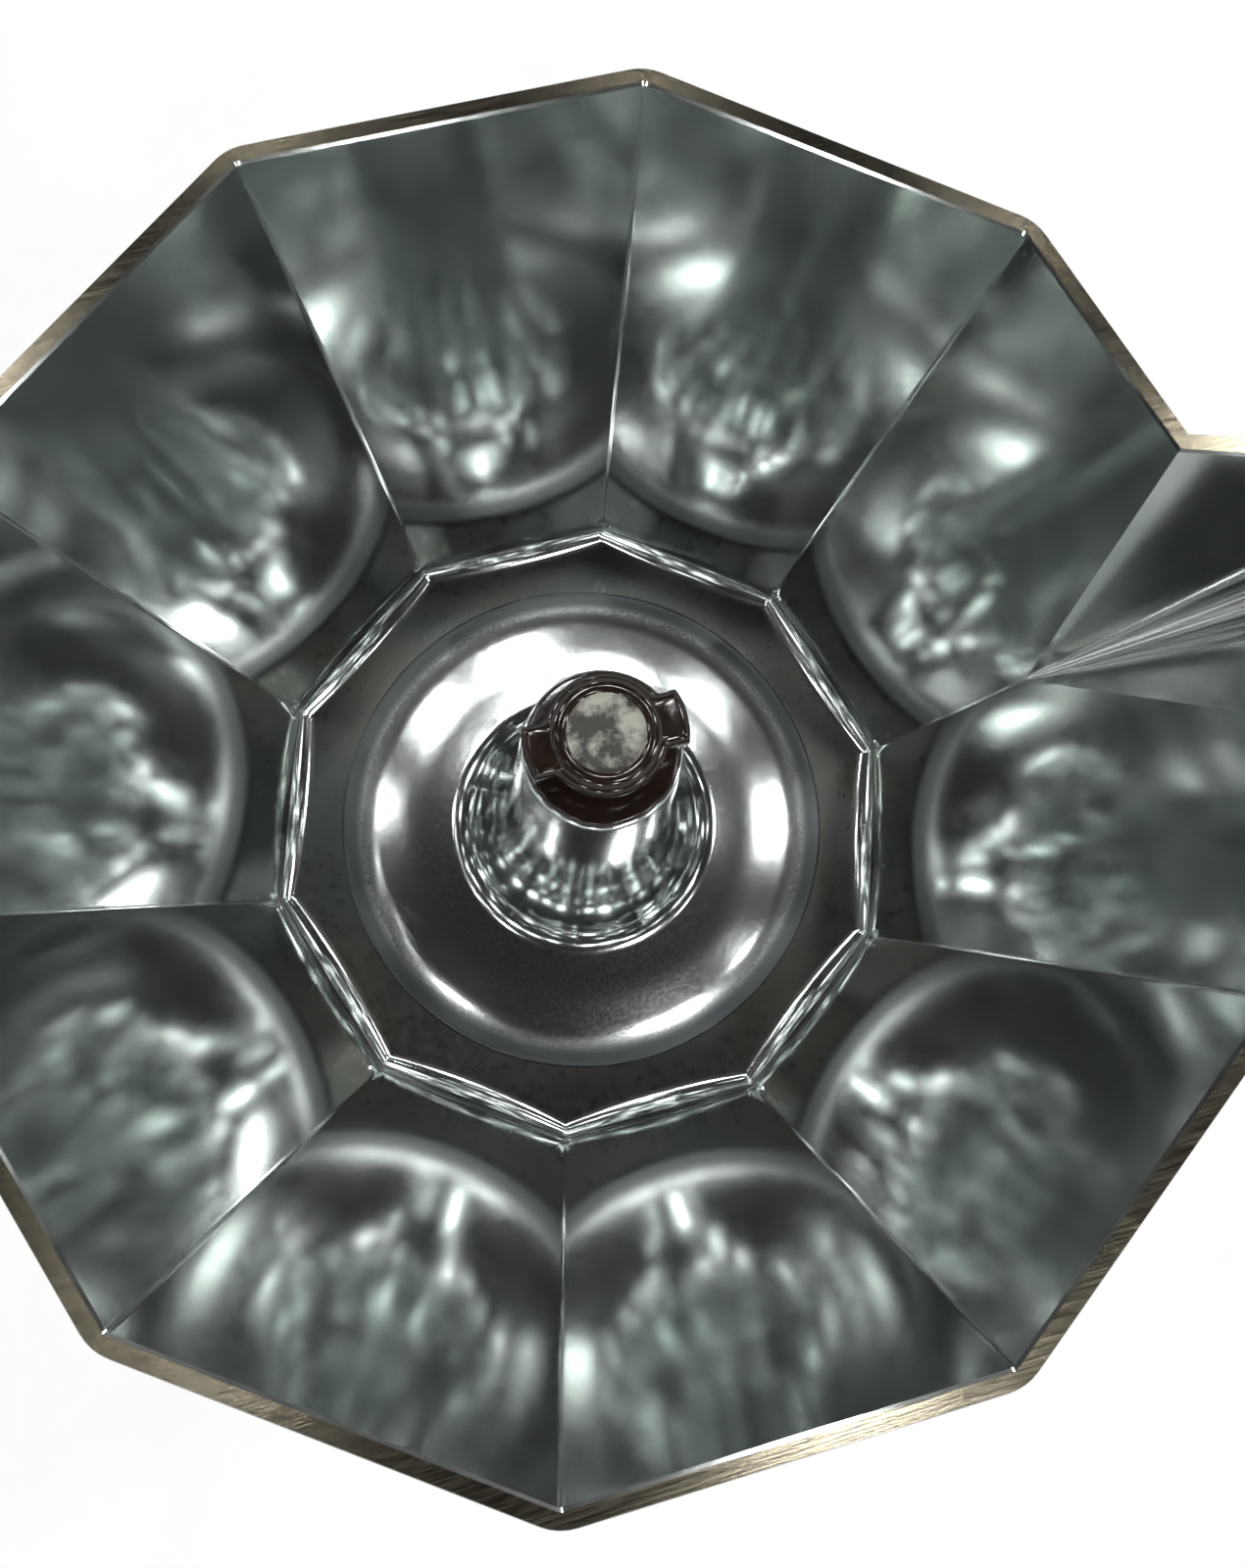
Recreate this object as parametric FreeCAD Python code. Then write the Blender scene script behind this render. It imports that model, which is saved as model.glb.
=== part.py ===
"""Ten-sided stove-top moka pot, about nine cups, as an assembly of separate pieces.

Frame: millimetres, +Z up, origin on the pot's axis at the underside of the boiler.
+X points along the spout, and the handle and the lid's hinge are on the -X side.
The collector is screwed down tight and the lid is stored open against its stop.
"""

import FreeCAD
import Part

import math
import os

# ---------------------------------------------------------------- driving dimensions, mm
# A "flat" is the distance from the axis to a side, half the width across flats.

sides = 10                    # sides of the boiler, the chamber, the lid and the knob

# Boiler: a thick casting, widest at the foot
foot_flat = 57.5
foot_bevel = 1.5
foot_band = 9.0               # height of the upright band round the foot
foot_blend = 4.0
boiler_cove = 5.0
waist_flat = 44.2
shoulder_height = 100.0       # flat shoulder that the threaded neck stands on
shoulder_round = 5.0
boiler_wall = 3.0
boiler_floor = 3.5
neck_radius = 41.2
neck_height = 12.0
mouth_radius = 36.5
outer_corner_round = 5.0      # upright corners of the boiler and the collector
press_gap = 0.02              # radial gap of a pressed fit

# Safety valve, in a boss on one side of the boiler
valve_height = 72.0
valve_azimuth = -54.0         # degrees from the spout, the middle of a side
boss_radius = 9.0
boss_proud = 2.0
boss_length = 9.0
valve_washer_thickness = 1.0
valve_shank_radius = 5.0
valve_shank_length = 11.0
valve_hex_across = 14.0
valve_hex_length = 5.0
valve_nose_radius = 5.2
valve_nose_length = 3.0
valve_bore_radius = 3.0
valve_seat_radius = 1.6
valve_seat_thickness = 1.6
plunger_stem_radius = 1.0
plunger_head_thickness = 1.2
plunger_head_gap = 0.3        # radial, in the valve's bore
plunger_travel = 2.0
plunger_proud = 2.5           # stem that shows outside the retainer
valve_seal_thickness = 0.8
spring_wire = 0.4
spring_turns = 5.0
retainer_thickness = 1.2

# Funnel that holds the ground coffee
basket_clearance = 0.6
basket_depth = 26.0
funnel_wall = 1.0
flange_overlap = 2.4          # how far the flange lies on the boiler's mouth
flange_thickness = 1.2
cone_drop = 8.0
tube_radius = 6.0
tube_end_gap = 6.0            # from the end of the tube to the boiler's floor
tube_notch = 3.0
tube_notch_width = 2.0
funnel_blend = 3.0
flange_round = 0.6
ledge_width = 1.6
ledge_blend = 1.0
funnel_plate_thickness = 0.8
ledge_depth = 2.0             # from the funnel plate to the bottom edge of the basket

# Gasket and filter plate, in the recess under the chamber's floor
gasket_thickness = 4.5
gasket_inner_radius = 33.5
gasket_edge_round = 0.8
recess_radius = 39.6
recess_fit = 0.3              # radial gap round what sits in the recess
filter_thickness = 1.0
filter_crown = 1.0            # how far the perforated middle stands up
filter_blend = 1.0
perforation_radius = 0.75
perforation_pitch = 6.0
filter_rings = 4
funnel_rings = 4

# Collector: the upper chamber, cast in one piece with its column, spout and lugs
foot_gap = 1.5                # from the boiler's shoulder to the collector's foot
thread_play = 0.4             # radial gap between the plain thread surfaces
collector_foot_flat = 44.9
skirt_height = 16.5
skirt_blend = 30.0
floor_thickness = 3.0
chamber_floor_flat = 41.2
chamber_rim_flat = 57.06
chamber_depth = 73.6
floor_fillet = 0.8            # between the sides and the floor
rim_wall = 1.8

# Dome and column
dome_radius = 34.9
dome_step = 0.8
dome_step_round = 0.35
dome_under_round = 1.0
crown_inset = 4.1             # dome's shoulder, in from its edge
crown_rise = 0.65             # and up from its edge
crown_blend = 30.0
plateau_inset = 10.4          # nearly flat middle of the dome, in from its edge
plateau_rise = 1.05
plateau_blend = 80.0
column_top_radius = 7.3
flare_spread = 9.0            # column's foot where it meets the dome, out from its top
flare_rise = 1.2
flare_blend = 4.5
bell_spread = 5.3             # bell-shaped part above the foot
bell_height = 11.0
bell_blend = 30.0
shaft_spread = 2.9            # lower end of the slender part
shaft_height = 24.0
shaft_blend = 60.0
column_drop = 7.1             # from the rim down to the column's lip
column_lip_round = 0.4
column_wall = 1.8
dome_wall = 2.4

# Outlet cap in the top of the column
cap_socket_depth = 8.0
cap_wall = 1.2
cap_flange_radius = 7.0
cap_flange_thickness = 1.0
cap_slot_height = 3.2
cap_button_radius = 5.25
cap_button_thickness = 4.3
cap_button_round = 1.2
cap_recess_radius = 3.4
cap_recess_depth = 0.4
cap_lug_radius = 6.95
cap_lug_width = 4.4
cap_lug_thickness = 2.6
cap_lug_drop = 0.5            # lug's top below the button's top
cap_edge_round = 0.3

# Spout
spout_mouth = 13.0            # from the corner along each side, at the rim
spout_half_angle = 17.0       # degrees, seen from above
spout_nose_radius = 3.5
spout_start = 0.53            # share of the chamber's depth at which the channel starts

# Lid
lid_gap = 0.3
lid_overhang = 0.4
lid_edge = 3.0
lid_rise = 10.0
lid_top_flat = 17.0
lid_top_blend = 8.0
lid_wall = 2.0
lid_shoulder_round = 1.0
lid_ridge_sink = 0.2          # top end of the beak's ridge below the lid's flat top
lid_open_angle = 100.0        # degrees, from closed to the stop

# Hinge between the lid and the collector
hinge_offset = 5.6            # from the rim's outer corner to the pin
hinge_height = 1.2            # pin's axis above the rim
hinge_barrel_radius = 5.0
hinge_pin_radius = 1.5
hinge_running_gap = 0.05
hinge_side_gap = 0.3
heel_share = 0.8              # heel's width as a share of the barrel's radius
lid_tab_width = 7.4
ear_thickness = 4.5
stop_gap = 0.3
shelf_thickness = 4.0
shelf_round = 1.0

# Handle and the tongue that it is pinned to
tongue_width = 6.0
tongue_depth = 22.0
tongue_reach = 9.5            # past the hinge pin
tongue_round = 4.0
handle_top_width = 15.0
handle_low_width = 21.0
handle_reach = 108.0          # from the pot's axis to the back of the grip
handle_drop = 96.0            # from the rim to the grip's lower end
handle_grip_thickness = 15.0
handle_toe = 3.0              # how far the grip's lower end curls outwards
handle_toe_height = 18.0
handle_arm_depth = 26.0
handle_top_drop = 4.6
handle_rise = 2.0             # from the hinge to the top of the bend
handle_lean = 4.0             # how much closer to the pot the grip is at its top
handle_bend = 18.0
handle_inner_bend = 13.0
handle_toe_bend = 45.0
handle_end_round = 5.5
handle_root_round = 2.0
handle_edge_round = 4.5
handle_fit = 0.2
handle_shelf_gap = 0.3
handle_wall_gap = 1.0
handle_pin_radius = 2.0
handle_pin_back = 2.5         # behind the hinge pin
handle_pin_inset = 0.6

# Knob on the lid
knob_foot_flat = 7.5
knob_top_flat = 12.0
knob_height = 22.0
knob_crown = 2.5
knob_edge_round = 1.2
knob_crown_round = 3.0
insert_radius = 3.6
insert_length = 12.0
knob_screw_radius = 2.0
knob_screw_bite = 9.0
knob_screw_end_gap = 1.0
screw_hole_gap = 0.2
screw_head_radius = 4.0
screw_head_height = 2.2
screw_head_round = 1.2
screw_slot_width = 1.0
screw_slot_depth = 1.1
knob_washer_radius = 6.0
knob_washer_thickness = 1.0

# ---------------------------------------------------------------- derived places

half_side = math.pi / sides
flat_to_corner = 1 / math.cos(half_side)

mouth_height = shoulder_height + neck_height
flange_top = mouth_height + flange_thickness
gasket_top = flange_top + gasket_thickness
seat_height = gasket_top + filter_thickness
floor_height = seat_height + floor_thickness
rim_height = floor_height + chamber_depth
collector_foot = shoulder_height + foot_gap
skirt_top = collector_foot + skirt_height
thread_bore_radius = neck_radius + thread_play
lip_height = rim_height - column_drop
cap_bore_radius = column_top_radius - column_wall

rim_outer_flat = chamber_rim_flat + rim_wall
rim_corner = chamber_rim_flat * flat_to_corner
rim_outer_corner = rim_outer_flat * flat_to_corner

hinge_x = -(rim_outer_corner + hinge_offset)
hinge_z = rim_height + hinge_height
shelf_top = hinge_z - hinge_barrel_radius - stop_gap
shelf_bottom = shelf_top - shelf_thickness
ear_inner = lid_tab_width / 2 + hinge_side_gap
ear_outer = ear_inner + ear_thickness

lid_bottom = rim_height + lid_gap
lid_flat = rim_outer_flat + lid_overhang
lid_top = lid_bottom + lid_edge + lid_rise

margin = 1.0                  # how far a cutting tool runs past what it cuts


def vector(x, y, z):
    return FreeCAD.Vector(x, y, z)


AXIS = vector(0, 0, 1)
ORIGIN = vector(0, 0, 0)


# ---------------------------------------------------------------- outlines and basic solids

def outline(points):
    """Closed wire in the XZ plane through (x, z) or (x, z, blend radius) points."""
    corners = [(vector(p[0], 0, p[1]), p[2] if len(p) > 2 else 0) for p in points]
    count = len(corners)
    starts = []
    ends = []
    edges = []
    for i, (here, blend) in enumerate(corners):
        back = corners[i - 1][0] - here
        ahead = corners[(i + 1) % count][0] - here
        half = back.getAngle(ahead) / 2
        room = 0.48 * min(back.Length, ahead.Length)
        blend = min(blend, room * math.tan(half))
        if blend <= 0:
            starts.append(here)
            ends.append(here)
            continue
        reach = blend / math.tan(half)
        back.normalize()
        ahead.normalize()
        start = here + back * reach
        end = here + ahead * reach
        middle = back + ahead
        middle.normalize()
        crown = here + middle * (blend / math.sin(half) - blend)
        edges.append(Part.Arc(start, crown, end).toShape())
        starts.append(start)
        ends.append(end)
    for i in range(count):
        line_end = starts[(i + 1) % count]
        if ends[i].distanceToPoint(line_end) > 1e-6:
            edges.append(Part.LineSegment(ends[i], line_end).toShape())
    return Part.Wire(Part.__sortEdges__(edges))


def revolved(points):
    """Solid turned about the pot's axis from a closed outline on one side of it."""
    return Part.Face(outline(points)).revolve(ORIGIN, AXIS, 360)


def plate(points, width, middle=0.0):
    """Closed XZ outline as a plate of that width in Y."""
    wire = outline(points)
    wire.translate(vector(0, middle - width / 2, 0))
    return Part.Face(wire).extrude(vector(0, width, 0))


def faceted(points):
    """Many-sided solid whose sides follow (flat, z, blend) points from bottom to top.

    Each pair of opposite sides is one plate, and what all the plates share is the solid.
    """
    mirrored = [(-p[0],) + tuple(p[1:]) for p in reversed(points)]
    widest = max(p[0] for p in points)
    blank = plate(list(points) + mirrored, 4 * widest)
    solid = None
    for i in range(sides // 2):
        pair = blank.copy()
        pair.rotate(ORIGIN, AXIS, math.degrees(half_side) * (2 * i + 1))
        solid = pair if solid is None else solid.common(pair)
    return solid.removeSplitter()


def cylinder(radius, length, base, direction=AXIS):
    return Part.makeCylinder(radius, length, base, direction)


def rounded_corners(solid, radius):
    """Solid with its upright corner edges rounded."""
    corner_edges = []
    for edge in solid.Edges:
        ends = [v.Point for v in edge.Vertexes]
        if abs(ends[0].z - ends[-1].z) < 1e-3:
            continue
        corner_edges.append(edge)
    return solid.makeFillet(radius, corner_edges)


def write(name, shape):
    shape.exportStep(os.path.join("parts", name + ".step"))


# ---------------------------------------------------------------- boiler

def boiler_flat(z):
    """Distance from the axis to the boiler's side at height z."""
    share = (z - foot_band) / (shoulder_height - foot_band)
    return foot_flat + (waist_flat - foot_flat) * share


def make_boiler():
    body = faceted([
        (foot_flat - foot_bevel, 0),
        (foot_flat, foot_bevel),
        (foot_flat, foot_band, foot_blend),
        (waist_flat, shoulder_height, shoulder_round),
    ])
    body = rounded_corners(body, outer_corner_round)
    neck = cylinder(neck_radius, neck_height, vector(0, 0, shoulder_height))
    inside_top = shoulder_height - boiler_wall
    inside = faceted([
        (foot_flat - boiler_wall, boiler_floor, boiler_cove),
        (foot_flat - boiler_wall, foot_band, foot_blend),
        (waist_flat - boiler_wall, inside_top, shoulder_round),
    ])
    mouth = cylinder(mouth_radius, mouth_height, vector(0, 0, inside_top - boiler_wall))
    boss = placed_on_boiler(cylinder(boss_radius, boss_length, vector(-boss_length, 0, 0), vector(1, 0, 0)))
    shank_hole = placed_on_boiler(
        cylinder(valve_shank_radius + press_gap, boss_length + 2 * margin,
                 vector(-boss_length - margin, 0, 0), vector(1, 0, 0)))
    return body.fuse(neck).cut(inside).cut(mouth).fuse(boss).cut(shank_hole).removeSplitter()


# ---------------------------------------------------------------- safety valve
# Modelled along +X from the boss's outer face, then placed on the boiler.

def placed_on_boiler(shape):
    shape = shape.copy()
    shape.translate(vector(boiler_flat(valve_height) + boss_proud, 0, valve_height))
    shape.rotate(ORIGIN, AXIS, valve_azimuth)
    return shape


def turned(points):
    """Solid turned about local +X from (x, radius) points."""
    solid = revolved([(radius, x) for x, radius in points])
    solid.rotate(ORIGIN, vector(0, 1, 0), 90)
    return solid


hex_start = valve_washer_thickness
hex_end = hex_start + valve_hex_length
nose_end = hex_end + valve_nose_length
shank_end = hex_start - valve_shank_length
chamber_start = shank_end + valve_seat_thickness
chamber_end = nose_end - retainer_thickness
seal_end = chamber_start + valve_seal_thickness
head_end = seal_end + plunger_head_thickness
head_radius = valve_bore_radius - plunger_head_gap
spring_radius = (plunger_stem_radius + valve_bore_radius) / 2


def make_valve_body():
    hexagon = Part.makePolygon([
        vector(hex_start,
               valve_hex_across / math.sqrt(3) * math.cos(math.radians(60 * i)),
               valve_hex_across / math.sqrt(3) * math.sin(math.radians(60 * i)))
        for i in range(7)])
    nut = Part.Face(hexagon).extrude(vector(valve_hex_length, 0, 0))
    shank = turned([(shank_end, 0), (shank_end, valve_shank_radius), (hex_start, valve_shank_radius),
                    (hex_start, 0)])
    nose = turned([(hex_end, 0), (hex_end, valve_nose_radius), (nose_end, valve_nose_radius), (nose_end, 0)])
    bore = turned([
        (shank_end - margin, 0),
        (shank_end - margin, valve_seat_radius),
        (chamber_start, valve_seat_radius),
        (chamber_start, valve_bore_radius),
        (nose_end + margin, valve_bore_radius),
        (nose_end + margin, 0),
    ])
    return placed_on_boiler(nut.fuse(shank).fuse(nose).cut(bore).removeSplitter())


def make_valve_washer():
    inner = valve_shank_radius + 2 * press_gap
    outer = valve_hex_across / 2
    return placed_on_boiler(turned([(0, inner), (0, outer), (hex_start, outer), (hex_start, inner)]))


def make_valve_seal():
    inner = plunger_stem_radius
    return placed_on_boiler(turned([
        (chamber_start, inner), (chamber_start, head_radius), (seal_end, head_radius), (seal_end, inner)]))


def make_valve_plunger():
    stem = plunger_stem_radius
    return placed_on_boiler(turned([
        (chamber_start, 0),
        (chamber_start, stem),
        (seal_end, stem),
        (seal_end, head_radius),
        (head_end, head_radius),
        (head_end, stem),
        (nose_end + plunger_proud, stem),
        (nose_end + plunger_proud, 0),
    ]))


def make_valve_spring():
    length = chamber_end - head_end - spring_wire
    pitch = length / spring_turns
    helix = Part.makeHelix(pitch, length, spring_radius)
    along = vector(0, 2 * math.pi * spring_radius, pitch)
    section = Part.Wire(Part.makeCircle(spring_wire / 2, vector(spring_radius, 0, 0), along))
    spring = Part.Wire(helix).makePipeShell([section], True, True)
    spring.rotate(ORIGIN, vector(0, 1, 0), 90)
    spring.translate(vector(head_end + spring_wire / 2, 0, 0))
    return placed_on_boiler(spring)


def make_valve_retainer():
    inner = plunger_stem_radius + hinge_running_gap
    outer = valve_bore_radius - press_gap
    return placed_on_boiler(turned([
        (chamber_end, inner), (chamber_end, outer), (nose_end, outer), (nose_end, inner)]))


# ---------------------------------------------------------------- funnel

basket_radius = mouth_radius - basket_clearance
flange_radius = mouth_radius + flange_overlap
basket_bottom = mouth_height - basket_depth
cone_bottom = basket_bottom - cone_drop
tube_end = boiler_floor + tube_end_gap
plate_bottom = basket_bottom + ledge_depth
basket_inner = basket_radius - funnel_wall


def make_funnel():
    ledge_radius = basket_inner - ledge_width
    shell = revolved([
        (tube_radius - funnel_wall, tube_end),
        (tube_radius, tube_end),
        (tube_radius, cone_bottom, funnel_blend),
        (basket_radius, basket_bottom, funnel_blend),
        (basket_radius, mouth_height),
        (flange_radius, mouth_height),
        (flange_radius, flange_top),
        (basket_inner, flange_top, flange_round),
        (basket_inner, plate_bottom),
        (ledge_radius, plate_bottom),
        (ledge_radius, plate_bottom - funnel_wall, ledge_blend),
        (tube_radius - funnel_wall, cone_bottom + funnel_wall, funnel_blend),
    ])
    notch = Part.makeBox(4 * tube_radius, tube_notch_width, 2 * tube_notch,
                         vector(-2 * tube_radius, -tube_notch_width / 2, tube_end - tube_notch))
    return shell.cut(notch)


def perforated(disc, rings, bottom, thickness):
    """Disc with one hole in the middle and rings of six, twelve, eighteen... holes round it."""
    drills = [cylinder(perforation_radius, thickness, vector(0, 0, bottom))]
    for ring in range(1, rings + 1):
        for i in range(6 * ring):
            turn = 2 * math.pi * i / (6 * ring)
            place = vector(ring * perforation_pitch * math.cos(turn),
                           ring * perforation_pitch * math.sin(turn), bottom)
            drills.append(cylinder(perforation_radius, thickness, place))
    return disc.cut(Part.Compound(drills))


def make_funnel_plate():
    disc = cylinder(basket_inner - recess_fit / 2, funnel_plate_thickness, vector(0, 0, plate_bottom))
    return perforated(disc, funnel_rings, plate_bottom - margin, funnel_plate_thickness + 2 * margin)


# ---------------------------------------------------------------- gasket and filter plate

def make_gasket():
    outer = recess_radius - recess_fit
    return revolved([
        (gasket_inner_radius, flange_top),
        (outer, flange_top, gasket_edge_round),
        (outer, gasket_top),
        (gasket_inner_radius, gasket_top),
    ])


def make_filter_plate():
    outer = recess_radius - recess_fit
    crown_radius = (filter_rings + 0.5) * perforation_pitch
    disc = revolved([
        (0, gasket_top + filter_crown),
        (crown_radius, gasket_top + filter_crown, filter_blend),
        (crown_radius + 2 * filter_crown, gasket_top, filter_blend),
        (outer, gasket_top),
        (outer, seat_height),
        (crown_radius + 2 * filter_crown, seat_height, filter_blend),
        (crown_radius, seat_height + filter_crown, filter_blend),
        (0, seat_height + filter_crown),
    ])
    return perforated(disc, filter_rings, gasket_top - margin, filter_thickness + filter_crown + 2 * margin)


# ---------------------------------------------------------------- collector

def spout_outline(offset):
    """(x, y) points of the spout's plan at the rim, widened by offset: two roots and the sharp tip."""
    angle = math.radians(spout_half_angle)
    root_x = rim_corner - spout_mouth * math.sin(half_side)
    root_y = spout_mouth * math.cos(half_side)
    tip_x = root_x + root_y / math.tan(angle) + offset / math.sin(angle)
    root_y += offset / math.cos(angle)
    return root_x, root_y, tip_x


def spout_wire(offset, z):
    root_x, root_y, tip_x = spout_outline(offset)
    wire = outline([
        (root_x, -root_y),
        (tip_x, 0, spout_nose_radius + offset),
        (root_x, root_y),
    ])
    wire.rotate(ORIGIN, vector(1, 0, 0), -90)
    wire.translate(vector(0, 0, z))
    return wire


def spout_apex(offset):
    """Where the channel starts, on the corner between two sides, moved out by offset."""
    start_flat = chamber_floor_flat + (chamber_rim_flat - chamber_floor_flat) * spout_start
    start = vector(start_flat * flat_to_corner, 0, floor_height + chamber_depth * spout_start)
    nose = spout_nose_radius * (1 / math.sin(math.radians(spout_half_angle)) - 1)
    tip = vector(spout_outline(0)[2] - nose, 0, rim_height)
    along = tip - start
    along.normalize()
    return start + vector(along.z, 0, -along.x) * offset


def spout_cone(offset, past_rim):
    """Channel's cone, from its starting point to the plan at the rim, run on past the rim."""
    apex = spout_apex(offset)
    wire = spout_wire(offset, rim_height)
    cone = Part.makeLoft([Part.Vertex(apex), wire], True, True)
    if past_rim:
        growth = 1 + past_rim / (rim_height - apex.z)
        cone.scale(growth, apex)
    return cone


def make_lugs():
    """Shelf with the two hinge ears, and the tongue for the handle."""
    root_x = -(rim_corner - 4 * rim_wall)
    ear_back = hinge_x - hinge_barrel_radius
    shelf = plate([
        (root_x, shelf_bottom),
        (ear_back, shelf_bottom, shelf_round),
        (ear_back, shelf_top, shelf_round),
        (root_x, shelf_top),
    ], 2 * ear_outer)
    lugs = shelf
    for side in (-1, 1):
        middle = side * (ear_inner + ear_outer) / 2
        barrel = cylinder(hinge_barrel_radius, ear_thickness,
                          vector(hinge_x, middle - ear_thickness / 2, hinge_z), vector(0, 1, 0))
        upright = plate([
            (root_x, shelf_bottom),
            (ear_back, shelf_bottom, shelf_round),
            (ear_back, hinge_z),
            (hinge_x + hinge_barrel_radius, hinge_z),
            (hinge_x + hinge_barrel_radius, rim_height - stop_gap),
            (root_x, rim_height - stop_gap),
        ], ear_thickness, middle)
        lugs = lugs.fuse(upright).fuse(barrel)
    tongue_back = hinge_x - tongue_reach
    tongue_bottom = shelf_bottom - tongue_depth
    lower_x = -(collector_outer_flat(tongue_bottom) * flat_to_corner - rim_wall)
    tongue = plate([
        (root_x, shelf_bottom + margin),
        (tongue_back, shelf_bottom + margin),
        (tongue_back, tongue_bottom, tongue_round),
        (lower_x, tongue_bottom),
    ], tongue_width)
    tongue = tongue.cut(Part.makeBox(
        tongue_reach + hinge_barrel_radius, tongue_width, 2 * margin,
        vector(tongue_back - hinge_barrel_radius, -tongue_width / 2, shelf_bottom)).cut(shelf))
    lugs = lugs.fuse(tongue)
    pin_hole = cylinder(hinge_pin_radius + press_gap, 2 * ear_outer + 2 * margin,
                        vector(hinge_x, -ear_outer - margin, hinge_z), vector(0, 1, 0))
    cross_hole = cylinder(handle_pin_radius + hinge_running_gap, tongue_width + 2 * margin,
                          vector(handle_pin_x, -tongue_width / 2 - margin, handle_pin_z), vector(0, 1, 0))
    return lugs.cut(pin_hole).cut(cross_hole)


def collector_outer_flat(z):
    """Distance from the axis to the collector's outer side at height z."""
    share = (z - skirt_top) / (rim_height - skirt_top)
    return waist_flat + (rim_outer_flat - waist_flat) * share


def column_profile(offset):
    """Dome and column surface, moved inwards by offset: (radius, height, round) from the edge up to the lip."""
    edge = floor_height + dome_step - offset
    edge_round = dome_under_round if offset else dome_step_round
    shrink = offset * column_wall / dome_wall
    return [
        (dome_radius - offset, edge, edge_round),
        (dome_radius - crown_inset, edge + crown_rise, crown_blend),
        (dome_radius - plateau_inset, edge + plateau_rise, plateau_blend),
        (column_top_radius + flare_spread - shrink, edge + flare_rise, flare_blend + offset),
        (column_top_radius + bell_spread - shrink, floor_height + bell_height - offset, bell_blend),
        (column_top_radius + shaft_spread - shrink, floor_height + shaft_height, shaft_blend),
        (column_top_radius - shrink, lip_height),
    ]


def make_collector():
    outer = faceted([
        (collector_foot_flat, collector_foot),
        (waist_flat, skirt_top, skirt_blend),
        (rim_outer_flat, rim_height),
    ])
    outer = rounded_corners(outer, outer_corner_round)
    body = outer.fuse(spout_cone(rim_wall, 0)).fuse(make_lugs())

    rise = (chamber_rim_flat - chamber_floor_flat) / chamber_depth
    chamber = faceted([
        (chamber_floor_flat, floor_height, floor_fillet),
        (chamber_rim_flat + rise * margin, rim_height + margin),
    ])
    body = body.cut(chamber).cut(spout_cone(0, margin))

    surface = column_profile(0)
    lip = (column_top_radius, lip_height, column_lip_round)
    start = floor_height - margin
    body = body.fuse(revolved([(0, start), (dome_radius, start)] + surface[:-1] + [lip, (0, lip_height)]))

    under = column_profile(dome_wall)
    socket_bottom = lip_height - cap_socket_depth
    thread_top = mouth_height + recess_fit
    top = lip_height + margin
    underside = revolved([
        (0, collector_foot - margin),
        (thread_bore_radius, collector_foot - margin),
        (thread_bore_radius, thread_top),
        (recess_radius, thread_top),
        (recess_radius, seat_height),
        (dome_radius - dome_wall, seat_height),
    ] + under + [(under[-1][0], top), (0, top)])
    socket = cylinder(cap_bore_radius, cap_socket_depth + margin, vector(0, 0, socket_bottom))
    return body.cut(underside).cut(socket).removeSplitter()


# ---------------------------------------------------------------- outlet cap

def make_column_cap():
    tube_outer = cap_bore_radius - press_gap
    tube_inner = tube_outer - cap_wall
    flange_top_z = lip_height + cap_flange_thickness
    button_bottom = flange_top_z + cap_slot_height
    button_top = button_bottom + cap_button_thickness
    tube_bottom = lip_height - cap_socket_depth + recess_fit
    sleeve = revolved([
        (tube_inner, tube_bottom),
        (tube_outer, tube_bottom, cap_edge_round),
        (tube_outer, lip_height),
        (cap_flange_radius, lip_height),
        (cap_flange_radius, flange_top_z, cap_edge_round),
        (tube_inner, flange_top_z),
    ])
    # The flange is open under each lug, so that the cap draws straight out of its mould.
    for relief_start in (tube_outer, -tube_outer - cap_flange_radius):
        relief = Part.makeBox(cap_flange_radius, cap_lug_width, cap_flange_thickness,
                              vector(relief_start, -cap_lug_width / 2, lip_height))
        sleeve = sleeve.cut(relief)
    button = revolved([
        (0, button_bottom),
        (cap_button_radius, button_bottom, cap_edge_round),
        (cap_button_radius, button_top, cap_button_round),
        (cap_recess_radius, button_top, cap_edge_round),
        (cap_recess_radius, button_top - cap_recess_depth),
        (0, button_top - cap_recess_depth),
    ])
    post_wall = revolved([
        (tube_inner, lip_height), (tube_outer, lip_height),
        (tube_outer, button_bottom + margin), (tube_inner, button_bottom + margin)])
    across = Part.makeBox(4 * cap_lug_radius, cap_lug_width, 10 * cap_slot_height,
                          vector(-2 * cap_lug_radius, -cap_lug_width / 2, lip_height))
    posts = post_wall.common(across)
    lug_top = button_top - cap_lug_drop
    lugs = cylinder(cap_lug_radius, cap_lug_thickness, vector(0, 0, lug_top - cap_lug_thickness))
    lugs = lugs.common(across).cut(cylinder(cap_recess_radius, 2 * cap_button_thickness,
                                            vector(0, 0, button_top - cap_recess_depth)))
    return sleeve.fuse(posts).fuse(button).fuse(lugs).removeSplitter()


# ---------------------------------------------------------------- lid
# Modelled closed, then turned about the hinge pin to its stop.

def opened(shape):
    shape = shape.copy()
    shape.rotate(vector(hinge_x, 0, hinge_z), vector(0, 1, 0), -lid_open_angle)
    return shape


def lid_form(offset):
    """Lid's outer form, moved inwards and down by offset."""
    edge_top = lid_bottom + lid_edge - offset
    form = faceted([
        (lid_flat - offset, lid_bottom - (margin if offset else 0)),
        (lid_flat - offset, edge_top, lid_shoulder_round),
        (lid_top_flat, lid_top - offset, lid_top_blend),
    ])
    reach = rim_wall + lid_overhang - offset
    base = spout_wire(reach, lid_bottom - (margin if offset else 0))
    beak = Part.Face(base).extrude(vector(0, 0, edge_top - base.BoundBox.ZMin))
    ridge_end = vector(lid_top_flat, 0, lid_top - offset - lid_ridge_sink)
    ridge = Part.makeLoft([Part.Vertex(ridge_end), spout_wire(reach, edge_top)], True, True)
    return form.fuse(beak).fuse(ridge)


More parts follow.
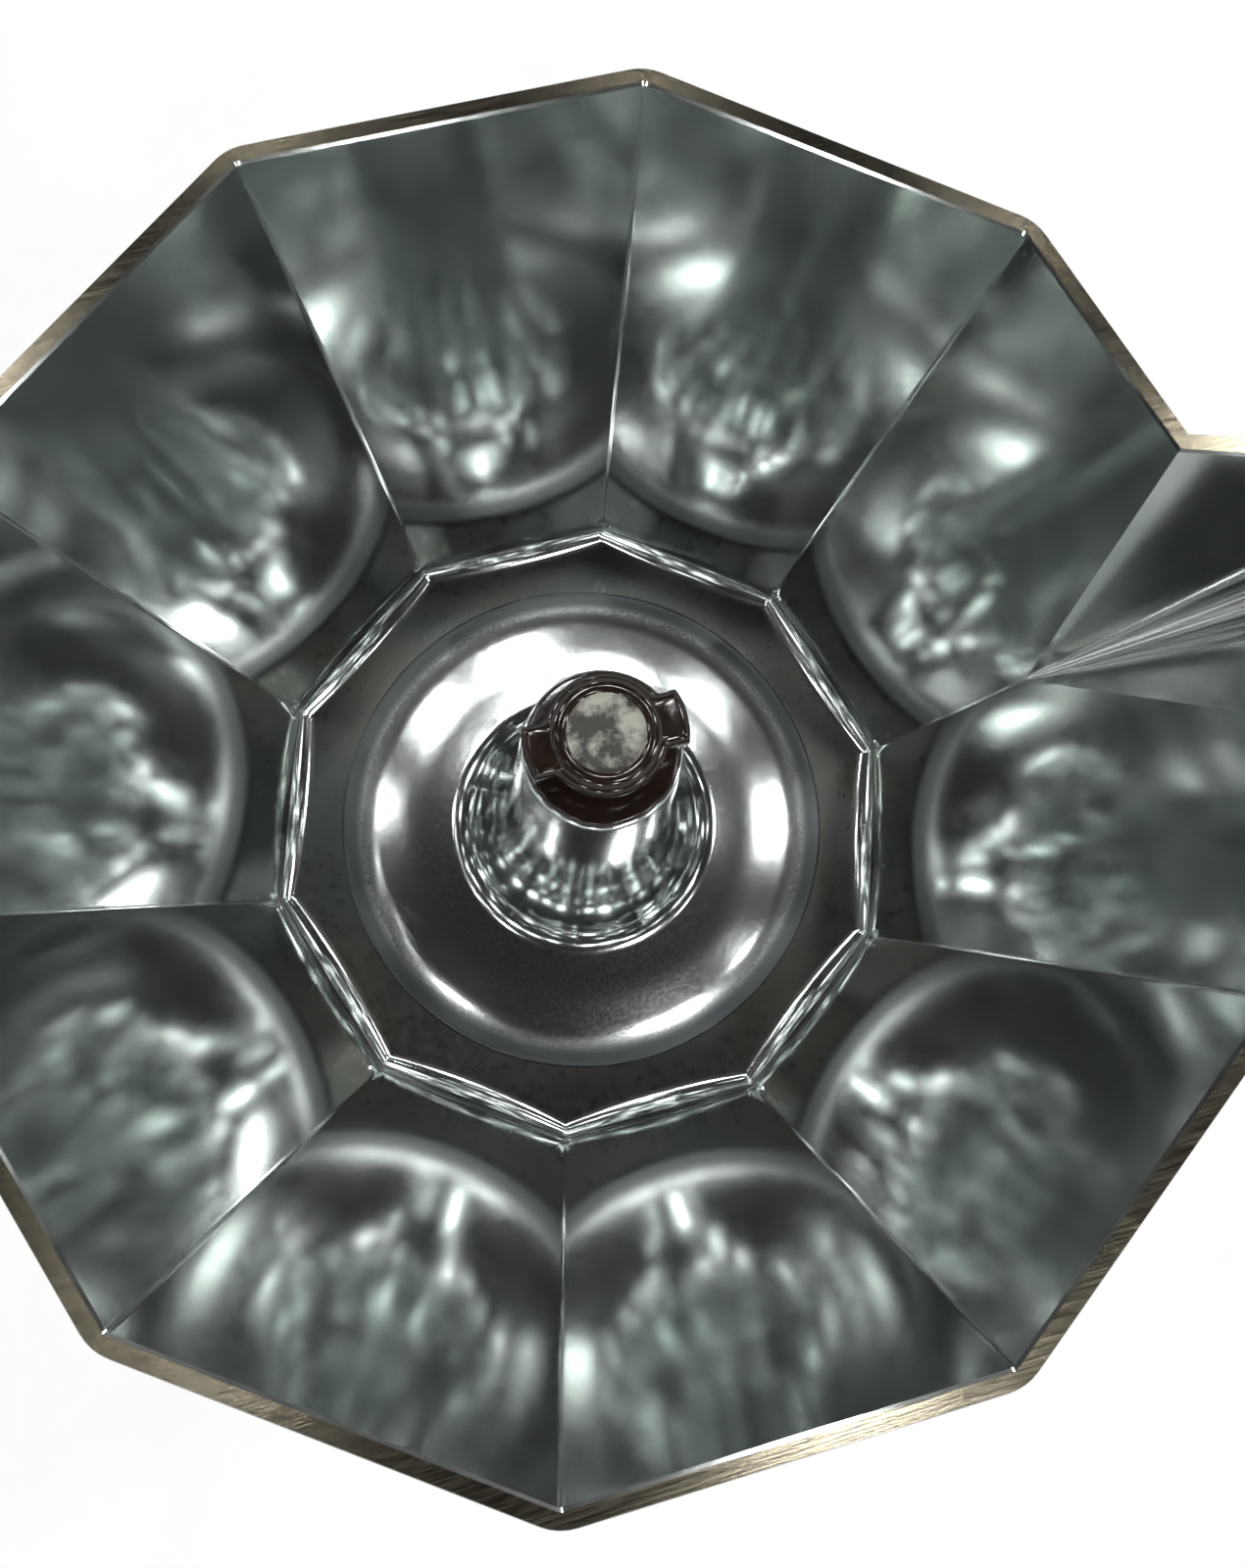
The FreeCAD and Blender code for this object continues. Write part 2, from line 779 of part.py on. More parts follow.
def make_lid():
    shell = lid_form(0).cut(lid_form(lid_wall))
    tab_root = -(lid_flat * flat_to_corner - lid_wall)
    tab = plate([
        (tab_root, lid_bottom + stop_gap),
        (hinge_x, lid_bottom + stop_gap),
        (hinge_x, lid_bottom + lid_edge + stop_gap),
        (tab_root, lid_bottom + lid_edge),
    ], lid_tab_width)
    barrel = cylinder(hinge_barrel_radius, lid_tab_width,
                      vector(hinge_x, -lid_tab_width / 2, hinge_z), vector(0, 1, 0))
    screw_hole = cylinder(knob_screw_radius + screw_hole_gap, 4 * lid_wall,
                          vector(0, 0, lid_top - 2 * lid_wall))
    lid = opened(shell.fuse(tab).fuse(barrel).cut(screw_hole))
    # The heel is square where it meets the shelf, so the lid stops when it is fully open.
    heel_width = heel_share * hinge_barrel_radius
    heel = Part.makeBox(heel_width, lid_tab_width, hinge_barrel_radius,
                        vector(hinge_x - heel_width, -lid_tab_width / 2, hinge_z - hinge_barrel_radius))
    pin_hole = cylinder(hinge_pin_radius + hinge_running_gap, lid_tab_width + 2 * margin,
                        vector(hinge_x, -lid_tab_width / 2 - margin, hinge_z), vector(0, 1, 0))
    return lid.fuse(heel).cut(pin_hole).removeSplitter()


def make_hinge_pin():
    return cylinder(hinge_pin_radius, 2 * ear_outer, vector(hinge_x, -ear_outer, hinge_z), vector(0, 1, 0))


# ---------------------------------------------------------------- knob, its insert, screw and washer

knob_bottom = lid_top
insert_top = knob_bottom + insert_length


def make_knob():
    knob = faceted([
        (knob_foot_flat, 0),
        (knob_top_flat, knob_height - knob_crown, knob_edge_round),
        (knob_foot_flat, knob_height, knob_crown_round),
    ])
    knob.translate(vector(0, 0, knob_bottom))
    socket = cylinder(insert_radius, insert_length + margin, vector(0, 0, knob_bottom - margin))
    return opened(knob.cut(socket))


def make_knob_insert():
    insert = cylinder(insert_radius - press_gap, insert_length, vector(0, 0, knob_bottom))
    bore = cylinder(knob_screw_radius + press_gap, knob_screw_bite + knob_screw_end_gap + margin,
                    vector(0, 0, knob_bottom - margin))
    return opened(insert.cut(bore))


def make_knob_washer():
    washer_top = lid_top - lid_wall
    hole = knob_screw_radius + screw_hole_gap
    return opened(revolved([
        (hole, washer_top - knob_washer_thickness),
        (knob_washer_radius, washer_top - knob_washer_thickness),
        (knob_washer_radius, washer_top),
        (hole, washer_top),
    ]))


def make_knob_screw():
    head_top = lid_top - lid_wall - knob_washer_thickness
    head_bottom = head_top - screw_head_height
    screw = revolved([
        (0, head_bottom),
        (screw_head_radius, head_bottom, screw_head_round),
        (screw_head_radius, head_top),
        (knob_screw_radius, head_top),
        (knob_screw_radius, knob_bottom + knob_screw_bite),
        (0, knob_bottom + knob_screw_bite),
    ])
    slot = Part.makeBox(2 * screw_head_radius, screw_slot_width, screw_slot_depth,
                        vector(-screw_head_radius, -screw_slot_width / 2, head_bottom))
    return opened(screw.cut(slot))


# ---------------------------------------------------------------- handle and its pin

handle_pin_x = hinge_x - handle_pin_back
handle_pin_z = shelf_bottom - tongue_depth / 2
grip_low = rim_height - handle_drop
arm_top = rim_height - handle_top_drop
arm_bottom = arm_top - handle_arm_depth


def handle_width(z):
    """Width across the handle at height z, widening evenly towards the grip's lower end."""
    share = (arm_top - z) / (arm_top - grip_low)
    return handle_top_width + (handle_low_width - handle_top_width) * share


def make_handle():
    wall_top_x = -(collector_outer_flat(shelf_bottom) * flat_to_corner + handle_wall_gap)
    wall_low_x = -(collector_outer_flat(arm_bottom) * flat_to_corner + handle_wall_gap)
    step_x = hinge_x - hinge_barrel_radius - handle_shelf_gap
    grip_back = -handle_reach
    grip_top_back = grip_back + handle_lean
    side_view = plate([
        (wall_top_x, shelf_bottom - handle_shelf_gap),
        (step_x, shelf_bottom - handle_shelf_gap),
        (step_x, arm_top, handle_root_round),
        (grip_top_back, arm_top + handle_rise, handle_bend),
        (grip_back, grip_low + handle_toe_height, handle_toe_bend),
        (grip_back - handle_toe, grip_low, handle_end_round),
        (grip_back - handle_toe + handle_grip_thickness, grip_low, handle_end_round),
        (grip_back + handle_grip_thickness, grip_low + handle_toe_height, handle_toe_bend),
        (grip_top_back + handle_grip_thickness, arm_bottom, handle_inner_bend),
        (wall_low_x, arm_bottom, handle_root_round),
    ], 2 * handle_low_width)
    # The view from behind: a straight-sided wedge, widest at the bottom.
    beyond = arm_top + 2 * handle_rise
    low_half = handle_width(grip_low - margin) / 2
    top_half = handle_width(beyond) / 2
    back_view = outline([
        (-low_half, grip_low - margin),
        (low_half, grip_low - margin),
        (top_half, beyond),
        (-top_half, beyond),
    ])
    back_view.rotate(ORIGIN, AXIS, 90)
    back_view.translate(vector(-2 * handle_reach, 0, 0))
    handle = side_view.common(Part.Face(back_view).extrude(vector(2 * handle_reach, 0, 0)))

    edges = []
    for face in handle.Faces:
        if abs(face.normalAt(0, 0).y) > 0.9:
            edges.extend(face.Edges)
    handle = handle.makeFillet(handle_edge_round, edges)
    slot = Part.makeBox(
        rim_outer_corner, tongue_width + 2 * handle_fit, rim_height,
        vector(hinge_x - tongue_reach - handle_fit, -tongue_width / 2 - handle_fit, 0))
    pin_hole = cylinder(handle_pin_radius + press_gap, 2 * handle_low_width,
                        vector(handle_pin_x, -handle_low_width, handle_pin_z), vector(0, 1, 0))
    return handle.cut(slot).cut(pin_hole).removeSplitter()


def make_handle_pin():
    length = handle_width(handle_pin_z) - 2 * handle_pin_inset
    start = vector(handle_pin_x, -length / 2, handle_pin_z)
    return cylinder(handle_pin_radius, length, start, vector(0, 1, 0))


# ---------------------------------------------------------------- assembly

pieces = {
    "boiler": make_boiler,
    "valve_body": make_valve_body,
    "valve_washer": make_valve_washer,
    "valve_plunger": make_valve_plunger,
    "valve_seal": make_valve_seal,
    "valve_spring": make_valve_spring,
    "valve_retainer": make_valve_retainer,
    "funnel": make_funnel,
    "funnel_plate": make_funnel_plate,
    "gasket": make_gasket,
    "filter_plate": make_filter_plate,
    "collector": make_collector,
    "column_cap": make_column_cap,
    "lid": make_lid,
    "hinge_pin": make_hinge_pin,
    "knob": make_knob,
    "knob_insert": make_knob_insert,
    "knob_washer": make_knob_washer,
    "knob_screw": make_knob_screw,
    "handle": make_handle,
    "handle_pin": make_handle_pin,
}

os.makedirs("parts", exist_ok=True)
for piece_name, make_piece in pieces.items():
    shape = make_piece()
    print(f"{piece_name:16s} solids {len(shape.Solids)} valid {shape.isValid()} volume {shape.Volume:10.1f}")
    write(piece_name, shape)
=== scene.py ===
import math

import bmesh
import bpy
from mathutils import Matrix, Vector


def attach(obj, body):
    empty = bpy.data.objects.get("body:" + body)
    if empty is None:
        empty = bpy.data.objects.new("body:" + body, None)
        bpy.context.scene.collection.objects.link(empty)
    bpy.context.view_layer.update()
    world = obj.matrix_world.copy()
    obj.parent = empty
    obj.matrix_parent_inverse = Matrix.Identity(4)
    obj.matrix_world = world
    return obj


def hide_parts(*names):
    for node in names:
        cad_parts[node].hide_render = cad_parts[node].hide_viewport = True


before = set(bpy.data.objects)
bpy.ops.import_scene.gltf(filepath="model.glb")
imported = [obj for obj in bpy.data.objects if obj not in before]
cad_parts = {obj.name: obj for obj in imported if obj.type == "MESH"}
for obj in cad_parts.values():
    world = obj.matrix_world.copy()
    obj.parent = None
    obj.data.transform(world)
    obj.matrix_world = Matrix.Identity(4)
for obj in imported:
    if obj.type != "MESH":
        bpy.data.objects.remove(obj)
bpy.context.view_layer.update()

# ------------------------ sizes in millimetres, nearly all the solids' own

MM = 0.001
SIDES = 10
HALF_SIDE = math.pi / SIDES
FLAT_TO_CORNER = 1 / math.cos(HALF_SIDE)

shoulder_z = 100.0
neck_radius = 41.2
neck_height = 12.0
mouth_z = shoulder_z + neck_height
seat_z = 118.7
face_gap = 0.02               # between faces that really touch
floor_z = 121.7
rim_z = 195.3
lip_z = 188.2

foot_z = 101.5
foot_flat = 44.9
skirt_top_z = 118.0
waist_flat = 44.2
floor_flat = 42.4             # 41.2 in the solid, which has no cove
rim_flat = 57.06
rim_wall = 1.8
rim_bevel = 0.2
thread_root = 42.2
recess_radius = 39.6
outer_corner_round = 5.0

cove_corner = 2.6             # radius between floor and wall at the corners
cove_middle = 3.8             # and at the middle of each side
corner_fillet = 0.7           # inner corners, nearly sharp

skirt_turn = 6.0              # half the height over which the side turns into the skirt
side_slope = 0.19             # what the side gains outwards over its rise
foot_slope = 0.04             # and the skirt over its fall
foot_edge = 0.4

dome_lap = 2.5                # reach of the floor ring under the dome's edge
dome_radius = 34.9
dome_step = 0.8
column_radius = 7.3
column_wall = 1.8

spout_mouth = 13.0
spout_half_angle = math.radians(17.0)
spout_nose_radius = 3.5
spout_start = 0.53

hinge_x = -67.489
hinge_z = 196.5
barrel_radius = 5.0
ear_inner = 4.0
ear_outer = 8.5
shelf_top = 191.2
shelf_bottom = 187.2
tongue_width = 6.0


# ------------------------ mesh helpers

UP = (0, 0, 1)
ORIGIN = (0, 0, 0)


def placed(name, data):
    """A new object in the scene."""
    made = bpy.data.objects.new(name, data)
    bpy.context.scene.collection.objects.link(made)
    return made


def piece_from(bm, name, body, materials, nodes=(), smooth=30.0):
    """Turns a bmesh in millimetres into a piece that rides on a body and may stand for solids."""
    bmesh.ops.remove_doubles(bm, verts=bm.verts, dist=1e-4)
    bmesh.ops.recalc_face_normals(bm, faces=bm.faces)
    bmesh.ops.scale(bm, vec=(MM, MM, MM), verts=bm.verts)
    mesh = bpy.data.meshes.new(name)
    bm.to_mesh(mesh)
    bm.free()
    mesh.shade_smooth()
    mesh.set_sharp_from_angle(angle=math.radians(smooth))
    for material in materials:
        mesh.materials.append(material)
    piece = placed(name, mesh)
    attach(piece, body)
    if nodes:
        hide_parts(*nodes)


def rounded(points, steps=6):
    """(a, b) points of an outline, with an arc at each point that gives a radius after a and b."""
    out = []
    for i, point in enumerate(points):
        here = Vector(point[:2])
        radius = point[2] if len(point) > 2 else 0
        if not radius:
            out.append(tuple(here))
            continue
        back = Vector(points[i - 1][:2]) - here
        ahead = Vector(points[(i + 1) % len(points)][:2]) - here
        half = back.angle(ahead) / 2
        reach = min(radius / math.tan(half), 0.48 * back.length, 0.48 * ahead.length)
        back.normalize()
        ahead.normalize()
        first = here + back * reach
        last = here + ahead * reach
        centre = here + (back + ahead).normalized() * (reach / math.cos(half))
        start = math.atan2(*(first - centre).yx)
        sweep = math.atan2(*(last - centre).yx) - start
        sweep = (sweep + math.pi) % (2 * math.pi) - math.pi
        size = (first - centre).length
        for k in range(steps + 1):
            turn = start + sweep * k / steps
            out.append((centre.x + size * math.cos(turn), centre.y + size * math.sin(turn)))
    return out


def spun(outline, segments=96):
    """Bmesh turned about the Z axis from (radius, z) points."""
    bm = bmesh.new()
    verts = [bm.verts.new((r, 0, z)) for r, z in outline]
    edges = [bm.edges.new(pair) for pair in zip(verts, verts[1:])]
    bmesh.ops.spin(bm, geom=verts + edges, cent=ORIGIN, axis=UP, angle=2 * math.pi, steps=segments,
                   use_merge=True)
    return bm


def add_plate(bm, outline, middle, width):
    """Adds a flat plate from the (x, z) points of its side outline, that wide along Y about middle."""
    face = bm.faces.new([bm.verts.new((x, middle - width / 2, z)) for x, z in outline])
    made = bmesh.ops.extrude_face_region(bm, geom=[face])["geom"]
    far_side = [item for item in made if isinstance(item, bmesh.types.BMVert)]
    bmesh.ops.translate(bm, vec=(0, width, 0), verts=far_side)


def round_edges(bm, edges, size, segments=2):
    bmesh.ops.bevel(bm, geom=edges, offset=size, offset_type="OFFSET", segments=segments, profile=0.5,
                    affect="EDGES", clamp_overlap=True, material=-1)


def lofted(rings, close=False):
    """Bmesh skin through rings of as many points each; close joins the last ring to the first."""
    bm = bmesh.new()
    order = bm.verts.layers.int.new("order")
    verts = [bm.verts.new(point) for point in rings[0]]
    for i, vert in enumerate(verts):
        vert[order] = i
    first = [bm.edges.new((a, b)) for a, b in zip(verts, verts[1:] + verts[:1])]
    edges = first
    for points in rings[1:]:
        made = bmesh.ops.extrude_edge_only(bm, edges=edges)["geom"]
        fresh = {item for item in made if isinstance(item, bmesh.types.BMVert)}
        for vert in fresh:
            vert.co = points[vert[order]]
        edges = [item for item in made
                 if isinstance(item, bmesh.types.BMEdge) and fresh.issuperset(item.verts)]
    if close:
        bmesh.ops.bridge_loops(bm, edges=first + edges)
    else:
        bmesh.ops.holes_fill(bm, edges=first + edges, sides=0)
    return bm


# ------------------------ materials

NOISE_SPAN = {"From Min": 0.3, "From Max": 0.7}     # nearly all of a noise's values lie between these


def colour(code):
    """Linear colour from an sRGB hex value."""
    shares = [int(code[i:i + 2], 16) / 255 for i in (1, 3, 5)]
    return tuple(c / 12.92 if c <= 0.04045 else ((c + 0.055) / 1.055) ** 2.4 for c in shares) + (1.0,)


def add(tree, kind, sockets=None, **settings):
    """Adds a node with its settings, and sets or links its sockets."""
    node = tree.nodes.new("ShaderNode" + kind)
    for name, value in settings.items():
        setattr(node, name, value)
    for socket, value in (sockets or {}).items():
        if isinstance(value, bpy.types.NodeSocket):
            tree.links.new(value, node.inputs[socket])
        else:
            node.inputs[socket].default_value = value
    return node


def new_finish(name, **surface):
    """A material with its surface shader; surface values sit on the shader's own sockets."""
    material = bpy.data.materials.new(name)
    material.use_nodes = True
    tree = material.node_tree
    tree.nodes.clear()
    shader = add(tree, "BsdfPrincipled",
                 {socket.replace("_", " "): value for socket, value in surface.items()})
    add(tree, "OutputMaterial", {"Surface": shader.outputs["BSDF"]})
    return material, tree, shader, add(tree, "TexCoord").outputs["Object"]


def dress(tree, shader, tone, rough, bump):
    """Links the nodes for colour, roughness and relief to the surface shader."""
    tree.links.new(tone.outputs["Result"], shader.inputs["Base Color"])
    tree.links.new(rough.outputs[0], shader.inputs["Roughness"])
    tree.links.new(bump.outputs["Normal"], shader.inputs["Normal"])


def per_mm(size):
    """Noise scale that gives spots about this many millimetres across."""
    return 1000.0 / size


def cast_aluminium(name, low, high, dull, bright, grain=0.35, grain_height=0.0012, wave_height=0.02,
                   stain_size=9.0, haze_size=2.5, wave_size=14.0):
    """Die-cast aluminium, tumbled and polished: soft mirror with a fine grain and a little stain.

    Sizes and heights are in millimetres. Real grain is finer; it is drawn as coarse as it needs to show.
    """
    material, tree, shader, place = new_finish(name, Metallic=1.0)
    stain = add(tree, "TexNoise",
                {"Vector": place, "Scale": per_mm(stain_size), "Detail": 4, "Roughness": 0.6})
    tone = add(tree, "Mix", {"Factor": stain.outputs["Fac"], "A": colour(low), "B": colour(high)},
               data_type="RGBA")
    haze = add(tree, "TexNoise", {"Vector": place, "Scale": per_mm(haze_size), "Detail": 5, "Roughness": 0.7})
    polish = add(tree, "MapRange", {"Value": haze.outputs["Fac"], **NOISE_SPAN,
                                    "To Min": bright, "To Max": dull})
    waves = add(tree, "TexNoise", {"Vector": place, "Scale": per_mm(wave_size)})
    swell = add(tree, "Bump", {"Height": waves.outputs["Fac"], "Distance": wave_height * MM})
    grains = add(tree, "TexNoise", {"Vector": place, "Scale": per_mm(grain), "Detail": 3, "Roughness": 0.65})
    bump = add(tree, "Bump", {"Height": grains.outputs["Fac"], "Distance": grain_height * MM,
                              "Normal": swell.outputs["Normal"]})
    dress(tree, shader, tone, polish, bump)
    return material


def ground_aluminium(belt_turn=0.6, scratch_stretch=0.05, scratch_width=0.25, scratch_depth=0.012):
    """Casting's rim ground flat on a belt: straight scratches along one direction sparkle at the edges.

    The belt's direction is in radians and the scratches in millimetres, coarser than a real grit's.
    """
    material, tree, shader, place = new_finish("ground_aluminium_rim", Metallic=1.0)
    belt = add(tree, "Mapping",
               {"Vector": place, "Rotation": (0, 0, belt_turn), "Scale": (scratch_stretch, 1.0, 1.0)})
    lines = add(tree, "TexNoise", {"Vector": belt.outputs["Vector"], "Scale": per_mm(scratch_width),
                                   "Detail": 4, "Roughness": 0.7})
    tone = add(tree, "Mix", {"Factor": lines.outputs["Fac"], "A": colour("#5a5447"), "B": colour("#a39c89")},
               data_type="RGBA")
    rough = add(tree, "MapRange", {"Value": lines.outputs["Fac"], **NOISE_SPAN,
                                   "To Min": 0.12, "To Max": 0.22})
    bump = add(tree, "Bump", {"Height": lines.outputs["Fac"], "Distance": scratch_depth * MM})
    dress(tree, shader, tone, rough, bump)
    return material


def stained_and_painted_dark_aluminium(pool_size=22.0, haze_size=1.2, haze_depth=0.0015):
    """Chamber's flat floor ring, painted dark as a painted reflection of the dark space overhead that it
    mirrors, and a shade warmer where coffee dried in pools.
    """
    material, tree, shader, place = new_finish("aluminium_painted_dark_and_coffee_stained", Metallic=1.0)
    pool = add(tree, "TexNoise", {"Vector": place, "Scale": per_mm(pool_size), "Detail": 3})
    spread = add(tree, "MapRange", {"Value": pool.outputs["Fac"], "From Min": 0.4, "From Max": 0.7})
    # Both base colours are dark as a painted reflection of the dark space overhead; the warmer one is the
    # coffee stain.
    tone = add(tree, "Mix",
               {"Factor": spread.outputs["Result"], "A": colour("#434846"), "B": colour("#4e4c47")},
               data_type="RGBA")
    haze = add(tree, "TexNoise", {"Vector": place, "Scale": per_mm(haze_size), "Detail": 4, "Roughness": 0.6})
    rough = add(tree, "MapRange", {"Value": haze.outputs["Fac"], **NOISE_SPAN,
                                   "To Min": 0.26, "To Max": 0.34})
    bump = add(tree, "Bump", {"Height": haze.outputs["Fac"], "Distance": haze_depth * MM})
    dress(tree, shader, tone, rough, bump)
    return material


def turned_aluminium(name, low, high, rough_low, rough_high, feed=0.45, feed_height=0.0012,
                     polish_radius=500.0, edge_blend=1.6, stain_size=7.0, spot_size=0.5, dent_depth=0.0002):
    """Metal turned on a lathe: fine rings round the axis draw each highlight out across them.

    It is polished up to polish_radius from the axis, and past that it is grainy and grey. All sizes are in
    millimetres. A real tool's feed is 0.1 to 0.2 mm; it is drawn as coarse as it needs to show.
    """
    material, tree, shader, place = new_finish(name, Metallic=1.0)
    split = add(tree, "SeparateXYZ", {"Vector": place})
    flat = add(tree, "CombineXYZ", {"X": split.outputs["X"], "Y": split.outputs["Y"]})
    radius = add(tree, "VectorMath", {0: flat.outputs["Vector"]}, operation="LENGTH")
    travel = add(tree, "Math", {0: radius.outputs["Value"], 1: split.outputs["Z"]}, operation="SUBTRACT")
    rings = add(tree, "TexNoise",
                {"W": travel.outputs["Value"], "Scale": per_mm(feed), "Detail": 5, "Roughness": 0.75},
                noise_dimensions="1D")
    stain = add(tree, "TexNoise",
                {"Vector": place, "Scale": per_mm(stain_size), "Detail": 5, "Roughness": 0.65})
    tone = add(tree, "Mix", {"Factor": stain.outputs["Fac"], "A": colour(low), "B": colour(high)},
               data_type="RGBA")
    edge = add(tree, "MapRange",
               {"Value": radius.outputs["Value"], "From Min": (polish_radius - edge_blend) * MM,
                "From Max": (polish_radius + edge_blend) * MM}, interpolation_type="SMOOTHSTEP")
    both = add(tree, "Mix",
               {"Factor": edge.outputs["Result"], "A": tone.outputs["Result"], "B": colour("#56595a")},
               data_type="RGBA")
    reach = add(tree, "MapRange",
                {"Value": edge.outputs["Result"], "To Min": rough_low, "To Max": rough_high})
    spots = add(tree, "TexNoise",
                {"Vector": place, "Scale": per_mm(spot_size), "Detail": 4, "Roughness": 0.8})
    speck = add(tree, "MapRange", {"Value": spots.outputs["Fac"], **NOISE_SPAN, "To Min": 0.8, "To Max": 1.3})
    rough = add(tree, "Math", {0: reach.outputs["Result"], 1: speck.outputs["Result"]}, operation="MULTIPLY")
    bump = add(tree, "Bump", {"Height": rings.outputs["Fac"], "Distance": feed_height * MM})
    dents = add(tree, "Bump", {"Height": spots.outputs["Fac"], "Distance": dent_depth * MM,
                               "Normal": bump.outputs["Normal"]})
    dress(tree, shader, both, rough, dents)
    return material


def moulded(name, low, high, rough_low, rough_high, orange_peel=0.02, spot=3.0, contrast=(0.2, 0.8),
            peel_size=0.9):
    """Moulded plastic or rubber: even colour with a faint mottle and a shallow orange peel."""
    material, tree, shader, place = new_finish(name, IOR=1.5)
    mottle = add(tree, "TexNoise", {"Vector": place, "Scale": per_mm(spot), "Detail": 5, "Roughness": 0.6})
    share = add(tree, "MapRange",
                {"Value": mottle.outputs["Fac"], "From Min": contrast[0], "From Max": contrast[1]})
    tone = add(tree, "Mix", {"Factor": share.outputs["Result"], "A": colour(low), "B": colour(high)},
               data_type="RGBA")
    rough = add(tree, "MapRange", {"Value": mottle.outputs["Fac"], **NOISE_SPAN,
                                   "To Min": rough_low, "To Max": rough_high})
    peel = add(tree, "TexNoise", {"Vector": place, "Scale": per_mm(peel_size), "Detail": 3})
    bump = add(tree, "Bump", {"Height": peel.outputs["Fac"], "Distance": orange_peel * MM})
    dress(tree, shader, tone, rough, bump)
    return material


# Chamber's walls: polished nearly to a mirror, so the column and the panels show in them, a little blurred.
cast_wall = cast_aluminium("cast_aluminium_polished_chamber", "#c8cdca", "#d9dddb", 0.13, 0.1,
                           wave_height=0.0003, grain_height=0.0006)
# Outside: the same polished casting painted a darker grey, a painted shade for the dim surroundings it
# mirrors, with soft broad highlights down each side.
cast_outside = cast_aluminium("cast_aluminium_polished_outside", "#8e8f8d", "#a3a4a2", 0.26, 0.16)
# Boiler's inside: never polished, and dulled by water, so it stays a flat grey.
boiler_inside = cast_aluminium("cast_aluminium_dull_inside", "#8b8a85", "#a3a29d", 0.5, 0.36)

machined_rim = ground_aluminium()
# Floor ring's finish: painted dark reflection, with coffee stains.
floor_metal = stained_and_painted_dark_aluminium()

# Dome and column: bright, with thin arcs of light. The dome's edge, where the tool ran out, is grainy grey.
turned_metal = turned_aluminium("turned_aluminium_column", "#c6cac9", "#d8dcdb", 0.1, 0.34,
                                feed_height=0.0003, polish_radius=31.6)
# Boiler's neck and thread: plain turned metal with a satin sheen.
turned_neck = turned_aluminium("turned_aluminium_neck", "#a9a9a5", "#bdbdb9", 0.22, 0.3)
# Valve's body and retainer and the knob's insert: turned brass, the one yellow metal on the pot.
brass = turned_aluminium("turned_brass_valve", "#b08a45", "#c7a35b", 0.2, 0.28, feed=0.3)
# Pins, screw, washer, plunger and spring: drawn steel, an even grey with a satin sheen.
steel = turned_aluminium("drawn_steel_pin", "#9b9a97", "#b4b3b0", 0.22, 0.3, feed=0.3)
# Funnel and perforated plates: spun sheet with wide rings and a satin face.
spun_metal = turned_aluminium("spun_aluminium_funnel", "#a7a6a2", "#bcbbb7", 0.25, 0.34, feed=0.6)

# Handle and knob: black thermoset with clear, narrow highlights.
phenolic = moulded("phenolic_black_moulded", "#110e0c", "#1c1815", 0.2, 0.28, orange_peel=0.006)
# Outlet cap: the same plastic, browner, and glossy enough to show the panels as small sharp spots.
cap_phenolic = moulded("phenolic_brown_black_cap", "#17100c", "#291e17", 0.08, 0.14, orange_peel=0.008)
# Cap's top: matt and blotched, and painted pale as a painted sheen of the overhead light on its rough face.
cap_top_painted_sheen = moulded("phenolic_top_painted_sheen", "#322f2a", "#a8a79c", 0.45, 0.7, orange_peel=0.08, spot=2.2,
                   contrast=(0.4, 0.58))
# Valve's washer: pressed red fibre, matt and slightly mottled.
fibre = moulded("fibre_washer_red", "#6d2b22", "#86382c", 0.55, 0.7, orange_peel=0.03, spot=0.8)
# Gasket and valve's seal: off-white silicone rubber with a dull skin.
silicone = moulded("silicone_white_gasket", "#d9d6ce", "#e6e3dc", 0.45, 0.6)


# ------------------------ ten-sided rings

SIDE_SHARES = (0.006, 0.1, 0.23, 0.365, 0.5, 0.635, 0.77, 0.9, 0.994)
CORNER_STEPS = 4
SPOUT_STEPS = 28


def corner_arc(flat, radius, corner, steps):
    """Points round one corner, each (x, y)."""
    middle = 2 * HALF_SIDE * corner
    reach = (flat - radius) * FLAT_TO_CORNER
    return [Vector((reach * math.cos(middle) + radius * math.cos(middle + turn),
                    reach * math.sin(middle) + radius * math.sin(middle + turn)))
            for turn in (HALF_SIDE * (2 * k / steps - 1) for k in range(steps + 1))]


def swells():
    """For each point of a ring, how near it lies to its side's middle: 0 at a corner, 1 at the middle."""
    out = []
    for k in range(SIDES):
        out.extend([0.0] * ((CORNER_STEPS if k else SPOUT_STEPS) + 1))
        out.extend(1 - (2 * share - 1) ** 2 for share in SIDE_SHARES)
    return out


def ring(flat, radius, front=None, bulge=0.0):
    """(x, y) points of a ten-sided ring. front takes the place of the points at the spout's corner."""
    corners = [corner_arc(flat, radius, k, CORNER_STEPS) for k in range(SIDES)]
    corners[0] = front if front is not None else corner_arc(flat, radius, 0, SPOUT_STEPS)
    out = []
    for k in range(SIDES):
        out.extend(corners[k])
        start, end = corners[k][-1], corners[(k + 1) % SIDES][0]
        out.extend(start.lerp(end, share) for share in SIDE_SHARES)
    if bulge:
        for i, swell in enumerate(swells()):
            if swell:
                side = math.floor(math.atan2(out[i].y, out[i].x) / (2 * HALF_SIDE))
                turn = HALF_SIDE * (2 * side + 1)
                out[i] = out[i] - Vector((math.cos(turn), math.sin(turn))) * (swell * bulge)
    return out


def at_height(points, z):
    """The points of a plan, lifted to one height."""
    return [Vector((p.x, p.y, z)) for p in points]


def circle_ring(radius, z):
    """Round ring with its points in line with those of the ten-sided ones."""
    return [Vector((p.x, p.y, 0)).normalized() * radius + Vector((0, 0, z)) for p in ring(waist_flat, 5.0)]


# ------------------------ spout

rim_corner = rim_flat * FLAT_TO_CORNER
rim_outer_flat = rim_flat + rim_wall


